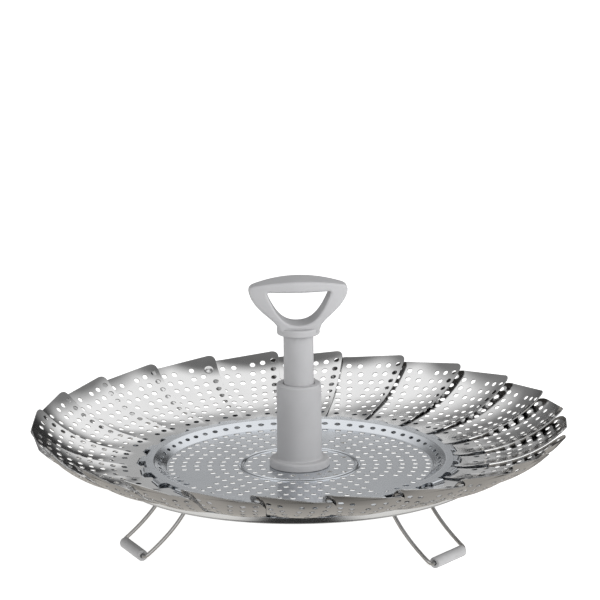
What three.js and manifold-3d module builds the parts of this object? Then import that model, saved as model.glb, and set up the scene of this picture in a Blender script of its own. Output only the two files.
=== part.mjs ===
// A folding steamer basket: a perforated base plate, overlapping petals hung on hooks round its rim,
// three wire legs that fold under it, and a telescoping handle in its middle.
// Millimetres, +Z up. The origin is on the table, under the handle's axis, and the front is -Y.

import * as THREE from 'three';
import { mergeVertices } from 'three/addons/utils/BufferGeometryUtils.js';
import Module from 'manifold-3d';

const wasm = await Module();
wasm.setup();

const rad = THREE.MathUtils.degToRad;

// Clearances
const RUN_GAP = 0.3; // between pieces that move on each other
const SEAT_GAP = 0.1; // between pieces that are welded, pressed or screwed together

// Base plate: a flat field, a sloped band round it and a flat flange round that
const FIELD_HEIGHT = 36; // top of the field above the table
const FIELD_RADIUS = 69;
const BAND_WIDTH = 6.3;
const FLANGE_WIDTH = 4.2;
const FLANGE_RISE = 3.5;
const BASE_SHEET = 0.6;
const BEAD_RADIUS = 30;
const BEAD_WIDTH = 3;
const BEAD_HEIGHT = 1;
const BASE_FACETS = 48;

// Support pan of the base plate, whose turned-up edge carries the open petals
const PAN_RADIUS = 98;
const PAN_LAP = 0.3; // how far it is welded under the field

// Steam holes of the base plate, in rings that lie one pitch apart
const HOLE_DIAMETER = 2.9;
const HOLE_PITCH = 6.65;
const HOLE_SIDES = 4;
const HOLES_PER_STEP = 6; // each ring has this many more holes than the ring inside it

// Hooks of the base plate that carry the petals
const HOOK_WIDTH = 9;
const HOOK_SHEET = 0.5;
const HOOK_END_ANGLE = -150;
const HOOK_ROOT = 4.5; // flat length of a hook, from its curl into the flange
const HOOK_STEPS = 4;
const HINGE_OFFSET = 2; // from the flange's edge to the petals' hinge lines

// Petals, seen from above: the clockwise edge of each lies on top of the next one
const PETAL_COUNT = 24;
const FIRST_PETAL = 1.8; // degrees clockwise from +Y
const PETAL_SHEET = 0.5;
const PETAL_REACH = 56.2; // from the hinge line to the tip
const PETAL_RISE = 18.9; // height of the tip over the hinge line
const PETAL_TIP_SLOPE = 46; // degrees; the petal leaves its hinge level and curves up to this
const PETAL_SKEW = 6.5; // degrees that a hinge line turns in at its clockwise end
const PETAL_ROLL = 2; // degrees that a petal's clockwise edge is tipped up
const PETAL_ROOT_CLOCKWISE = 10.8; // widths from the petal's middle line to its two edges
const PETAL_ROOT_COUNTER = 9.4;
const PETAL_TIP_CLOCKWISE = 21.5;
const PETAL_TIP_COUNTER = 19.5;
const PETAL_CORNER = 4;
const PETAL_STEPS = 6;
const PETAL_CORNER_STEPS = 3;
const ROOT_BAR = 1.4; // strip between a petal's root edge and its slot
const PETAL_HOLE_SIDE = 5; // square openings, each of which stands for a few of the finer real ones
const PETAL_HOLE_PITCH = 10.6;
const PETAL_HOLE_FIRST = 6.2; // from the hinge line to the first row of openings
const DIMPLED_PETAL = 22; // counts from 0, clockwise
const DIMPLE_RADIUS = 2.6;
const DIMPLE_HEIGHT = 1.1;
const DIMPLE_SHOULDER = 0.7; // share of its radius and of its height
const DIMPLE_FACETS = 12;
const DIMPLE_INSET = 6.5; // from the petal's tip and from its clockwise edge

// Legs
const LEGS = ['right', 'back', 'left'];
const FIRST_LEG = -36.4; // degrees counter-clockwise from +X
const WIRE_DIAMETER = 2;
const WIRE_SIDES = 6;
const WIRE_STEPS = 54;
const LEG_WIDTH = 31; // between the middles of a leg's two sides
const LEG_INSET = 3; // from the field's edge in to the legs' pivots
const LEG_SPREAD = 26.7; // from a leg's pivot out to its foot
const LEG_TOP_SLOPE = 70; // degrees below level at the pivot and at the foot
const LEG_FOOT_SLOPE = 35;
const LEG_CORNER = 2.6;
const WIRE_END_GAP = 1; // between the wire's two ends, which meet inside the strap
const FOOT_DIAMETER = 5.8;
const FOOT_LENGTH = 25;
const FOOT_SIDES = 12;

// Straps welded under the field, which curl round the legs' top bars
const STRAP_WIDTH = 16;
const STRAP_LENGTH = 14;
const STRAP_SHEET = 0.8;
const STRAP_END_ANGLE = -150;
const STRAP_STEPS = 6;
const WELD_MARGIN = 1.5; // bare metal left round each strap

// Handle socket and the plug in its foot
const SOCKET_HEIGHT = 43.8;
const SOCKET_DIAMETER = 23;
const SOCKET_WALL = 1.8;
const SOCKET_LIP = 3;
const SOCKET_EDGE = 1.2;
const SOCKET_FLANGE_DIAMETER = 31;
const SOCKET_FLANGE = 4;
const SOCKET_FILLET = 0.8;
const PLUG_HEIGHT = 8;
const TURNED_FACETS = 24;

// Sliding stem, with its stop collar and friction ring
const STEM_DIAMETER = 15.4;
const STEM_WALL = 2.5;
const STEM_SHOWN = 26.2; // between the socket's lip and the grip, pulled right out
const STOP_HEIGHT = 6;
const RING_HEIGHT = 2;
const RING_DEPTH = 1.4;

// Grip, seen from the front
const GRIP_WIDTH = 51.5;
const GRIP_HEIGHT = 29;
const GRIP_CROWN = 3.7;
const GRIP_DEPTH = 18;
const GRIP_FOOT_DEPTH = 15;
const GRIP_END_DEPTH = 6;
const GRIP_ARM = 7.6; // from the hole's top corners out to the grip's ends
const GRIP_BAR = 6; // height of the top bar over the hole
const GRIP_FLOOR = 5.7; // height of the hole's lowest point
const GRIP_HOLE_CORNER = 1;
const GRIP_COLLAR_DIAMETER = 22;
const GRIP_COLLAR = 3.8;
const GRIP_TURN = 5; // degrees counter-clockwise from the left-right line
const GRIP_FLARE = 0.2; // pulls of the outline's curves, as shares of the shoulder's height
const GRIP_SWELL = 0.55;
const GRIP_HOLE_BELLY = 0.45; // pulls of the hole's curves, as shares of its half width and its height
const GRIP_HOLE_SIDE = 0.7;
const GRIP_HOLE_CHEEK = 0.28;
const SPIGOT_LENGTH = 12;
const GRIP_CURVE_STEPS = 8;

// Fixing screw and washer under the base plate
const SCREW_DIAMETER = 4;
const SCREW_HEAD_DIAMETER = 8.5;
const SCREW_HEAD = 2.4;
const SCREW_CROWN_DIAMETER = 5;
const SCREW_REACH = 6; // length inside the plug
const WASHER_DIAMETER = 24;
const WASHER_THICKNESS = 1.2;

// Sizes that follow from those above
const flangeInner = FIELD_RADIUS + BAND_WIDTH;
const flangeOuter = flangeInner + FLANGE_WIDTH;
const fieldUnder = FIELD_HEIGHT - BASE_SHEET;
const hingeRadius = flangeOuter + HINGE_OFFSET;
const barTilt = (HOOK_WIDTH / 2) * Math.sin(rad(PETAL_ROLL));
const hookInner = Math.hypot(ROOT_BAR / 2, PETAL_SHEET / 2) + barTilt + RUN_GAP;
const slotOuter = hookInner + HOOK_SHEET + barTilt + RUN_GAP;
const hingeHeight = FIELD_HEIGHT + FLANGE_RISE - BASE_SHEET / 2 - HOOK_SHEET / 2 - hookInner;
const panHeight = fieldUnder + BASE_SHEET / 2;
const panDrop = PETAL_TIP_COUNTER * Math.sin(rad(PETAL_ROLL)) + PETAL_SHEET / 2 + RUN_GAP;
const panTop = hingeHeight + petalCurve().getPoint(petalShare(PAN_RADIUS - hingeRadius)).y - panDrop;
const wireRadius = WIRE_DIAMETER / 2;
const strapInner = wireRadius + RUN_GAP;
const pivotHeight = fieldUnder - SEAT_GAP - STRAP_SHEET - strapInner;
const footHeight = FOOT_DIAMETER / 2;
const legPivotRadius = FIELD_RADIUS - LEG_INSET;
const legFootRadius = legPivotRadius + LEG_SPREAD;
const stemRadius = STEM_DIAMETER / 2;
const socketRadius = SOCKET_DIAMETER / 2;
const socketBore = socketRadius - SOCKET_WALL;
const stopTop = SOCKET_HEIGHT - SOCKET_LIP - RUN_GAP;
const gripBase = SOCKET_HEIGHT + STEM_SHOWN;
const spigotRadius = stemRadius - STEM_WALL - SEAT_GAP;
const screwRadius = SCREW_DIAMETER / 2;

// Materials
const steel = (color, roughness) => new THREE.MeshStandardMaterial({ color, roughness, metalness: 1 });
const plastic = (color, roughness) => new THREE.MeshStandardMaterial({ color, roughness, metalness: 0 });
const polishedSteel = steel(0xd2d5d8, 0.2);
const petalSteel = steel(0xd8d9da, 0.22);
const wireSteel = steel(0xc3c5c8, 0.25);
const screwSteel = steel(0xb4b6b9, 0.35);
const greyPlastic = plastic(0xbfbfc1, 0.5);
const greySilicone = plastic(0xb3b3b0, 0.7);
const darkRubber = plastic(0x3a3a3b, 0.8);

// A closed geometry as a solid that can be joined and cut
function solidOf(geometry) {
  const bare = geometry.clone();
  for (const name of Object.keys(bare.attributes)) {
    if (name !== 'position') bare.deleteAttribute(name);
  }
  const merged = mergeVertices(bare);
  return new wasm.Manifold(new wasm.Mesh({
    numProp: 3,
    vertProperties: new Float32Array(merged.attributes.position.array),
    triVerts: new Uint32Array(merged.index.array),
  }));
}

// A solid back as a geometry
function geometryOf(solid) {
  const mesh = solid.getMesh();
  const geometry = new THREE.BufferGeometry();
  geometry.setAttribute('position', new THREE.BufferAttribute(mesh.vertProperties, 3));
  geometry.setIndex(new THREE.BufferAttribute(mesh.triVerts, 1));
  geometry.computeVertexNormals();
  return geometry;
}

// A flat shape raised to a height
function raise(shape, height, curveSegments = 1) {
  return new THREE.ExtrudeGeometry(shape, { depth: height, bevelEnabled: false, curveSegments });
}

// A ring or a round piece from points of radius and height, which run counter-clockwise
function turn(points, facets) {
  const profile = points.map(([radius, height]) => new THREE.Vector2(radius, height));
  return new THREE.LatheGeometry(profile, facets).rotateX(Math.PI / 2);
}

// The same, where the profile is a loop away from the axis
function turnLoop(points, facets) {
  return turn([...points, points[0]], facets);
}

// A regular polygon whose flats touch a circle of the given radius
function polygon(radius, sides) {
  const corner = radius / Math.cos(Math.PI / sides);
  const points = Array.from({ length: sides }, (_, i) => {
    const angle = (2 * i + 1) * (Math.PI / sides);
    return new THREE.Vector2(corner * Math.cos(angle), corner * Math.sin(angle));
  });
  return new THREE.Shape(points);
}

// A strip that runs in level along its top and curls down round a centre, seen along the curl's axis
function curlShape(flat, inner, sheet, endAngle) {
  const shape = new THREE.Shape();
  shape.moveTo(-flat, inner);
  shape.lineTo(0, inner);
  shape.absarc(0, 0, inner, Math.PI / 2, rad(endAngle), true);
  shape.lineTo((inner + sheet) * Math.cos(rad(endAngle)), (inner + sheet) * Math.sin(rad(endAngle)));
  shape.absarc(0, 0, inner + sheet, rad(endAngle), Math.PI / 2, false);
  shape.lineTo(-flat, inner + sheet);
  return shape;
}

// Stands a shape, drawn as distance from a hinge line and height, along that line through the origin.
// The line turns in by the skew at its clockwise end.
function alongHinge(shape, width, skew, curveSegments) {
  const outward = new THREE.Vector3(Math.cos(skew), -Math.sin(skew), 0);
  const up = new THREE.Vector3(0, 0, 1);
  const clockwise = new THREE.Vector3().crossVectors(outward, up);
  const frame = new THREE.Matrix4().makeBasis(outward, up, clockwise);
  const geometry = raise(shape, width, curveSegments);
  return geometry.translate(0, 0, -width / 2).applyMatrix4(frame);
}

const rack = new THREE.Group();
rack.name = 'steaming_rack';

function place(name, geometry, material, parent = rack) {
  const mesh = new THREE.Mesh(geometry, material);
  mesh.name = name;
  parent.add(mesh);
  return mesh;
}

const legAngles = LEGS.map((_, i) => rad(FIRST_LEG + (360 / LEGS.length) * i));
const petalAngles = Array.from({ length: PETAL_COUNT }, (_, i) => (
  Math.PI / 2 - rad(FIRST_PETAL + (360 / PETAL_COUNT) * i)
));

// Base plate: the turned sheet, before its holes and hooks
function baseSheet() {
  const innermost = screwRadius + RUN_GAP;
  const half = BEAD_WIDTH / 2;
  const top = [
    [innermost, 0],
    [BEAD_RADIUS - half, 0],
    [BEAD_RADIUS, BEAD_HEIGHT],
    [BEAD_RADIUS + half, 0],
    [FIELD_RADIUS, 0],
    [flangeInner, FLANGE_RISE],
    [flangeOuter, FLANGE_RISE],
  ];
  const under = top.map(([radius, height]) => [radius, height - BASE_SHEET]);
  return turnLoop([...under, ...top.reverse()], BASE_FACETS).translate(0, 0, FIELD_HEIGHT);
}

// The pan under the flange, with its turned-up edge
function supportPan() {
  const inside = PAN_RADIUS - BASE_SHEET;
  const profile = [
    [FIELD_RADIUS - PAN_LAP, panHeight - BASE_SHEET],
    [inside, panHeight - BASE_SHEET],
    [PAN_RADIUS, panHeight],
    [PAN_RADIUS, panTop],
    [inside, panTop],
    [inside, panHeight],
    [FIELD_RADIUS - PAN_LAP, panHeight],
  ];
  return turnLoop(profile, BASE_FACETS);
}

// Middles of the steam holes, leaving bare the places where the straps are welded
function steamHoles() {
  const first = Math.ceil((SOCKET_FLANGE_DIAMETER + HOLE_DIAMETER) / 2 / HOLE_PITCH);
  const last = Math.floor((FIELD_RADIUS - HOLE_DIAMETER / 2) / HOLE_PITCH);
  const holes = [];
  for (let ring = first; ring <= last; ring += 1) {
    const count = HOLES_PER_STEP * ring;
    for (let i = 0; i < count; i += 1) {
      const angle = (2 * Math.PI * i) / count;
      holes.push([HOLE_PITCH * ring * Math.cos(angle), HOLE_PITCH * ring * Math.sin(angle)]);
    }
  }
  return holes.filter(([x, y]) => !legAngles.some((angle) => underStrap(x, y, angle)));
}

// Whether a steam hole would break into the metal over a strap
function underStrap(x, y, angle) {
  const along = x * Math.cos(angle) + y * Math.sin(angle);
  const across = y * Math.cos(angle) - x * Math.sin(angle);
  const margin = HOLE_DIAMETER / 2 + WELD_MARGIN;
  const inner = legPivotRadius - STRAP_LENGTH - margin;
  return Math.abs(across) < STRAP_WIDTH / 2 + margin && along > inner && along < legPivotRadius;
}

function basePlate() {
  const punchHeight = FLANGE_RISE + 4 * BASE_SHEET;
  const punch = raise(polygon(HOLE_DIAMETER / 2, HOLE_SIDES), punchHeight);
  punch.translate(0, 0, fieldUnder - BASE_SHEET);
  const punches = steamHoles().map(([x, y]) => solidOf(punch.clone().translate(x, y, 0)));
  const hookForm = curlShape(HOOK_ROOT, hookInner, HOOK_SHEET, HOOK_END_ANGLE);
  const hook = alongHinge(hookForm, HOOK_WIDTH, rad(PETAL_SKEW), HOOK_STEPS)
    .translate(hingeRadius, 0, hingeHeight);
  const hooks = petalAngles.map((angle) => solidOf(hook.clone().rotateZ(angle)));
  const plate = solidOf(baseSheet()).subtract(wasm.Manifold.union(punches));
  return geometryOf(plate.add(solidOf(supportPan())).add(wasm.Manifold.union(hooks)));
}

// Corners of a petal seen from above, with x along its middle line from the hinge line and y
// counter-clockwise. Its root edge is parallel to the hinge line.
function petalCorners() {
  const skew = rad(PETAL_SKEW);
  const rootAt = (y) => new THREE.Vector2(y * Math.tan(skew) - ROOT_BAR / 2 / Math.cos(skew), y);
  return {
    clockwiseRoot: rootAt(-PETAL_ROOT_CLOCKWISE),
    counterRoot: rootAt(PETAL_ROOT_COUNTER),
    clockwiseTip: new THREE.Vector2(PETAL_REACH, -PETAL_TIP_CLOCKWISE),
    counterTip: new THREE.Vector2(PETAL_REACH, PETAL_TIP_COUNTER),
  };
}

function petalOutline(dimpled) {
  const { clockwiseRoot, counterRoot, clockwiseTip, counterTip } = petalCorners();
  const before = (tip, root) => tip.clone().lerp(root, PETAL_CORNER / tip.distanceTo(root));
  const clockwiseEdge = before(clockwiseTip, clockwiseRoot);
  const counterEdge = before(counterTip, counterRoot);
  const shape = new THREE.Shape();
  shape.moveTo(clockwiseRoot.x, clockwiseRoot.y);
  shape.lineTo(clockwiseEdge.x, clockwiseEdge.y);
  shape.quadraticCurveTo(clockwiseTip.x, clockwiseTip.y, clockwiseTip.x, clockwiseTip.y + PETAL_CORNER);
  shape.lineTo(counterTip.x, counterTip.y - PETAL_CORNER);
  shape.quadraticCurveTo(counterTip.x, counterTip.y, counterEdge.x, counterEdge.y);
  shape.lineTo(counterRoot.x, counterRoot.y);
  shape.holes.push(petalSlot(), ...petalHoles(dimpled));
  return shape;
}

// Turns a point, given as its distance out from the hinge line and its place along it, to the petal's
// middle line, or the other way round
function hingeToPlan(out, along) {
  return new THREE.Vector2(out, along).rotateAround(new THREE.Vector2(), -rad(PETAL_SKEW));
}

function planToHinge(point) {
  return point.clone().rotateAround(new THREE.Vector2(), rad(PETAL_SKEW));
}

// A rectangular opening, square to the hinge line
function petalOpening(near, far, first, last) {
  const corners = [[near, last], [far, last], [far, first], [near, first]];
  return new THREE.Path(corners.map(([out, along]) => hingeToPlan(out, along)));
}

// The slot that a hook passes through
function petalSlot() {
  const half = HOOK_WIDTH / 2 + RUN_GAP;
  return petalOpening(ROOT_BAR / 2, slotOuter, -half, half);
}

// Openings in rows along the hinge line, spread evenly between the petal's two long edges, but not
// where there is a dimple
function petalHoles(dimpled) {
  const { clockwiseRoot, counterRoot, clockwiseTip, counterTip } = petalCorners();
  const edgeAt = (out, root, tip) => {
    const [start, end] = [planToHinge(root), planToHinge(tip)];
    return THREE.MathUtils.mapLinear(out, start.x, end.x, start.y, end.y);
  };
  const rows = Math.floor((PETAL_REACH - PETAL_HOLE_FIRST - PETAL_HOLE_SIDE) / PETAL_HOLE_PITCH) + 1;
  const half = PETAL_HOLE_SIDE / 2;
  const clear = DIMPLE_RADIUS + PETAL_HOLE_SIDE;
  const holes = [];
  for (let row = 0; row < rows; row += 1) {
    const out = PETAL_HOLE_FIRST + row * PETAL_HOLE_PITCH;
    const start = edgeAt(out, clockwiseRoot, clockwiseTip);
    const width = edgeAt(out, counterRoot, counterTip) - start;
    const count = Math.floor(width / PETAL_HOLE_PITCH);
    for (let i = 0; i < count; i += 1) {
      const along = start + ((i + 0.5) * width) / count;
      if (!dimpled || hingeToPlan(out, along).distanceTo(dimpleCentre()) > clear) {
        holes.push(petalOpening(out - half, out + half, along - half, along + half));
      }
    }
  }
  return holes;
}

// Side view of the sheet's middle, as distance from the hinge line and height
function petalCurve() {
  const bend = PETAL_REACH - PETAL_RISE / Math.tan(rad(PETAL_TIP_SLOPE));
  return new THREE.QuadraticBezierCurve(
    new THREE.Vector2(),
    new THREE.Vector2(bend, 0),
    new THREE.Vector2(PETAL_REACH, PETAL_RISE),
  );
}

// Side view of the sheet, which runs on past the hinge line and past the tip, where the outline cuts it
function petalSection() {
  const curve = petalCurve();
  const farthest = planToHinge(petalCorners().clockwiseTip).x + PETAL_SHEET;
  const half = PETAL_SHEET / 2;
  const upper = [new THREE.Vector2(-PETAL_CORNER, half)];
  const lower = [new THREE.Vector2(-PETAL_CORNER, -half)];
  for (let i = 0; i <= PETAL_STEPS; i += 1) {
    const share = (petalShare(farthest) * i) / PETAL_STEPS;
    const [point, tangent] = [curve.getPoint(share), petalTangent(share)];
    const up = new THREE.Vector2(-tangent.y, tangent.x).multiplyScalar(half);
    upper.push(point.clone().add(up));
    lower.push(point.clone().sub(up));
  }
  return new THREE.Shape([...lower, ...upper.reverse()]);
}

// Direction of the petal's side view at a share of the way to its tip
function petalTangent(share) {
  const { v0, v1, v2 } = petalCurve();
  return v1.clone().sub(v0).lerp(v2.clone().sub(v1), share).normalize();
}

// Share of the way to the tip at a distance out from the hinge line
function petalShare(out) {
  const { v1, v2 } = petalCurve();
  const square = v2.x - 2 * v1.x;
  return (Math.sqrt(v1.x ** 2 + square * out) - v1.x) / square;
}

function dimpleCentre() {
  return new THREE.Vector2(PETAL_REACH - DIMPLE_INSET, DIMPLE_INSET - PETAL_TIP_CLOCKWISE);
}

// A small round boss pressed up near a petal's clockwise corner
function dimple() {
  const centre = dimpleCentre();
  const share = petalShare(planToHinge(centre).x);
  const profile = [
    [0, -PETAL_SHEET / 4],
    [DIMPLE_RADIUS, -PETAL_SHEET / 4],
    [DIMPLE_RADIUS * DIMPLE_SHOULDER, DIMPLE_HEIGHT * DIMPLE_SHOULDER],
    [0, DIMPLE_HEIGHT],
  ];
  return turn(profile, DIMPLE_FACETS)
    .rotateY(-petalTangent(share).angle())
    .translate(centre.x, centre.y, petalCurve().getPoint(share).y);
}

function petalGeometry(dimpled) {
  const span = 2 * (PETAL_TIP_CLOCKWISE + PETAL_TIP_COUNTER);
  const sheet = alongHinge(petalSection(), span, rad(PETAL_SKEW), PETAL_STEPS);
  const outline = petalOutline(dimpled);
  const cutter = raise(outline, PETAL_REACH, PETAL_CORNER_STEPS).translate(0, 0, -PETAL_REACH / 4);
  let solid = solidOf(sheet).intersect(solidOf(cutter));
  if (dimpled) solid = solid.add(solidOf(dimple()));
  return geometryOf(solid).rotateX(-rad(PETAL_ROLL)).translate(hingeRadius, 0, hingeHeight);
}

// Middle line of a leg's wire: half of the top bar, a side, the foot bar, the other side and back
function legPath() {
  const half = LEG_WIDTH / 2;
  const pivot = new THREE.Vector2(legPivotRadius, pivotHeight);
  const foot = new THREE.Vector2(legFootRadius, footHeight);
  const bend = slopesMeet(pivot, rad(LEG_TOP_SLOPE), foot, rad(LEG_FOOT_SLOPE));
  const side = new THREE.QuadraticBezierCurve(pivot, bend, foot);
  const cut = LEG_CORNER / side.getLength();
  const at = (point, across) => new THREE.Vector3(point.x, across, point.y);
  const path = new THREE.CurvePath();
  const corner = (from, middle, to) => path.add(new THREE.QuadraticBezierCurve3(from, middle, to));
  const upper = side.getPoint(cut);
  const lower = side.getPoint(1 - cut);
  const shoulder = half - LEG_CORNER;
  const wireSide = (across, points) => path.add(new THREE.CatmullRomCurve3(
    points.map((point) => at(point, across)),
  ));
  const sidePoints = [0, 0.25, 0.5, 0.75, 1].map((share) => side.getPoint(cut + share * (1 - 2 * cut)));
  path.add(new THREE.LineCurve3(at(pivot, WIRE_END_GAP / 2), at(pivot, shoulder)));
  corner(at(pivot, shoulder), at(pivot, half), at(upper, half));
  wireSide(half, sidePoints);
  corner(at(lower, half), at(foot, half), at(foot, shoulder));
  path.add(new THREE.LineCurve3(at(foot, shoulder), at(foot, -shoulder)));
  corner(at(foot, -shoulder), at(foot, -half), at(lower, -half));
  wireSide(-half, [...sidePoints].reverse());
  corner(at(upper, -half), at(pivot, -half), at(pivot, -shoulder));
  path.add(new THREE.LineCurve3(at(pivot, -shoulder), at(pivot, -WIRE_END_GAP / 2)));
  return path;
}

// Where two lines that fall at the given slopes meet, one from the pivot and one back from the foot
function slopesMeet(pivot, topSlope, foot, footSlope) {
  const down = new THREE.Vector2(Math.cos(topSlope), -Math.sin(topSlope));
  const back = new THREE.Vector2(-Math.cos(footSlope), Math.sin(footSlope));
  const apart = foot.clone().sub(pivot);
  const length = apart.cross(back) / down.cross(back);
  return pivot.clone().addScaledVector(down, length);
}

function legWire() {
  return new THREE.ExtrudeGeometry(polygon(wireRadius, WIRE_SIDES), {
    steps: WIRE_STEPS,
    extrudePath: legPath(),
  });
}

function footSleeve() {
  const section = polygon(FOOT_DIAMETER / 2, FOOT_SIDES);
  section.holes.push(new THREE.Path(polygon(wireRadius + RUN_GAP, WIRE_SIDES).getPoints().reverse()));
  const sleeve = raise(section, FOOT_LENGTH).translate(0, 0, -FOOT_LENGTH / 2);
  return sleeve.rotateX(Math.PI / 2).translate(legFootRadius, 0, footHeight);
}

function legStrap() {
  const form = curlShape(STRAP_LENGTH, strapInner, STRAP_SHEET, STRAP_END_ANGLE);
  return alongHinge(form, STRAP_WIDTH, 0, STRAP_STEPS).translate(legPivotRadius, 0, pivotHeight);
}

// Handle socket: a tube with a foot flange and a lip that keeps the stem in
function handleSocket() {
  const flange = SOCKET_FLANGE_DIAMETER / 2;
  const mouth = stemRadius + RUN_GAP;
  return turnLoop([
    [socketBore, 0],
    [flange, 0],
    [flange, SOCKET_FLANGE - SOCKET_EDGE],
    [flange - SOCKET_EDGE, SOCKET_FLANGE],
    [socketRadius + SOCKET_FILLET, SOCKET_FLANGE],
    [socketRadius, SOCKET_FLANGE + SOCKET_FILLET],
    [socketRadius, SOCKET_HEIGHT - SOCKET_EDGE],
    [socketRadius - SOCKET_EDGE, SOCKET_HEIGHT],
    [mouth, SOCKET_HEIGHT],
    [mouth, SOCKET_HEIGHT - SOCKET_LIP],
    [socketBore, SOCKET_HEIGHT - SOCKET_LIP],
  ], TURNED_FACETS);
}

// Plug pressed into the socket's foot, which takes the fixing screw
function socketPlug() {
  const outer = socketBore - SEAT_GAP;
  const bore = screwRadius + SEAT_GAP;
  const floor = SCREW_REACH + RUN_GAP;
  return turn([[0, floor], [bore, floor], [bore, 0], [outer, 0], [outer, PLUG_HEIGHT], [0, PLUG_HEIGHT]],
    TURNED_FACETS / 2);
}

// Sliding stem: a tube with a stop collar at its lower end, grooved for the friction ring
function stem() {
  const bore = stemRadius - STEM_WALL;
  const stop = socketBore - RUN_GAP;
  const groove = stop - RING_DEPTH;
  const low = stopTop - STOP_HEIGHT;
  const ringLow = stopTop - (STOP_HEIGHT + RING_HEIGHT) / 2 - SEAT_GAP;
  const ringHigh = ringLow + RING_HEIGHT + 2 * SEAT_GAP;
  return turnLoop([
    [bore, low],
    [stop, low],
    [stop, ringLow],
    [groove, ringLow],
    [groove, ringHigh],
    [stop, ringHigh],
    [stop, stopTop],
    [stemRadius, stopTop],
    [stemRadius, gripBase - SEAT_GAP],
    [bore, gripBase - SEAT_GAP],
  ], TURNED_FACETS);
}

function frictionRing() {
  const outer = socketBore - SEAT_GAP;
  const inner = socketBore - RUN_GAP - RING_DEPTH + SEAT_GAP;
  const middle = stopTop - STOP_HEIGHT / 2;
  const half = RING_HEIGHT / 2;
  const bulge = (outer - inner) / 2;
  return turnLoop([
    [inner, middle - half],
    [inner + bulge, middle - half],
    [outer, middle],
    [inner + bulge, middle + half],
    [inner, middle + half],
  ], TURNED_FACETS);
}

// Grip seen from the front, from the top of its collar, with its hole
function gripFront() {
  const half = GRIP_WIDTH / 2;
  const collar = GRIP_COLLAR_DIAMETER / 2;
  const shoulder = GRIP_HEIGHT - GRIP_CROWN;
  const flare = GRIP_COLLAR + GRIP_FLARE * shoulder;
  const swell = GRIP_SWELL * shoulder;
  const shape = new THREE.Shape();
  shape.moveTo(collar, GRIP_COLLAR / 2);
  shape.lineTo(collar, GRIP_COLLAR);
  shape.bezierCurveTo(collar, flare, half, swell, half, shoulder);
  shape.quadraticCurveTo(0, GRIP_HEIGHT + GRIP_CROWN, -half, shoulder);
  shape.bezierCurveTo(-half, swell, -collar, flare, -collar, GRIP_COLLAR);
  shape.lineTo(-collar, GRIP_COLLAR / 2);
  const corner = half - GRIP_ARM;
  const ceiling = GRIP_HEIGHT - GRIP_BAR;
  const cheek = GRIP_FLOOR + GRIP_HOLE_CHEEK * (ceiling - GRIP_FLOOR);
  const belly = GRIP_HOLE_BELLY * corner;
  const flank = GRIP_HOLE_SIDE * corner;
  const hole = new THREE.Path();
  hole.moveTo(0, GRIP_FLOOR);
  hole.bezierCurveTo(-belly, GRIP_FLOOR, -flank, cheek, -corner, ceiling - GRIP_HOLE_CORNER);
  hole.lineTo(-corner + GRIP_HOLE_CORNER, ceiling);
  hole.lineTo(corner - GRIP_HOLE_CORNER, ceiling);
  hole.lineTo(corner, ceiling - GRIP_HOLE_CORNER);
  hole.bezierCurveTo(flank, cheek, belly, GRIP_FLOOR, 0, GRIP_FLOOR);
  shape.holes.push(hole);
  return shape;
}

// Grip seen from above: a lens with blunt ends
function gripPlan() {
  const half = GRIP_WIDTH / 2;
  const end = GRIP_END_DEPTH / 2;
  const belly = GRIP_DEPTH - end;
  const shape = new THREE.Shape();
  shape.moveTo(half, -end);
  shape.lineTo(half, end);
  shape.quadraticCurveTo(0, belly, -half, end);
  shape.lineTo(-half, -end);
  shape.quadraticCurveTo(0, -belly, half, -end);
  return shape;
}

// Grip seen from the side: narrower at its foot than at its top
function gripSide() {
  return new THREE.Shape([
    new THREE.Vector2(GRIP_FOOT_DEPTH / 2, 0),
    new THREE.Vector2(GRIP_DEPTH / 2, GRIP_HEIGHT),
    new THREE.Vector2(-GRIP_DEPTH / 2, GRIP_HEIGHT),
    new THREE.Vector2(-GRIP_FOOT_DEPTH / 2, 0),
  ]);
}

function grip() {
  const front = raise(gripFront(), GRIP_DEPTH, GRIP_CURVE_STEPS).translate(0, 0, -GRIP_DEPTH / 2);
  const plan = raise(gripPlan(), GRIP_HEIGHT, GRIP_CURVE_STEPS);
  const side = raise(gripSide(), GRIP_WIDTH).translate(0, 0, -GRIP_WIDTH / 2);
  const collar = GRIP_COLLAR_DIAMETER / 2;
  const foot = turn([
    [0, -SPIGOT_LENGTH],
    [spigotRadius, -SPIGOT_LENGTH],
    [spigotRadius, 0],
    [collar, 0],
    [collar, GRIP_COLLAR],
    [0, GRIP_COLLAR],
  ], TURNED_FACETS);
  const pull = solidOf(front.rotateX(Math.PI / 2))
    .intersect(solidOf(plan))
    .intersect(solidOf(side.rotateX(Math.PI / 2).rotateZ(Math.PI / 2)));
  return geometryOf(pull.add(solidOf(foot))).translate(0, 0, gripBase);
}

function fixingScrew() {
  const head = SCREW_HEAD_DIAMETER / 2;
  const seat = fieldUnder - WASHER_THICKNESS - 2 * SEAT_GAP;
  const end = FIELD_HEIGHT + SEAT_GAP + SCREW_REACH;
  return turn([
    [0, seat - SCREW_HEAD],
    [SCREW_CROWN_DIAMETER / 2, seat - SCREW_HEAD],
    [head, seat - SCREW_HEAD / 2],
    [head, seat],
    [screwRadius, seat],
    [screwRadius, end],
    [0, end],
  ], TURNED_FACETS / 2);
}

function fixingWasher() {
  const top = fieldUnder - SEAT_GAP;
  const bottom = top - WASHER_THICKNESS;
  const hole = screwRadius + RUN_GAP;
  const outer = WASHER_DIAMETER / 2;
  return turnLoop([[hole, bottom], [outer, bottom], [outer, top], [hole, top]], TURNED_FACETS);
}

// Assembly
place('base_plate', basePlate(), polishedSteel);

const plainPetal = petalGeometry(false);
const dimpledPetal = petalGeometry(true);
petalAngles.forEach((angle, i) => {
  const name = `petal_${String(i + 1).padStart(2, '0')}`;
  place(name, i === DIMPLED_PETAL ? dimpledPetal : plainPetal, petalSteel).rotation.z = angle;
});

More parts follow.
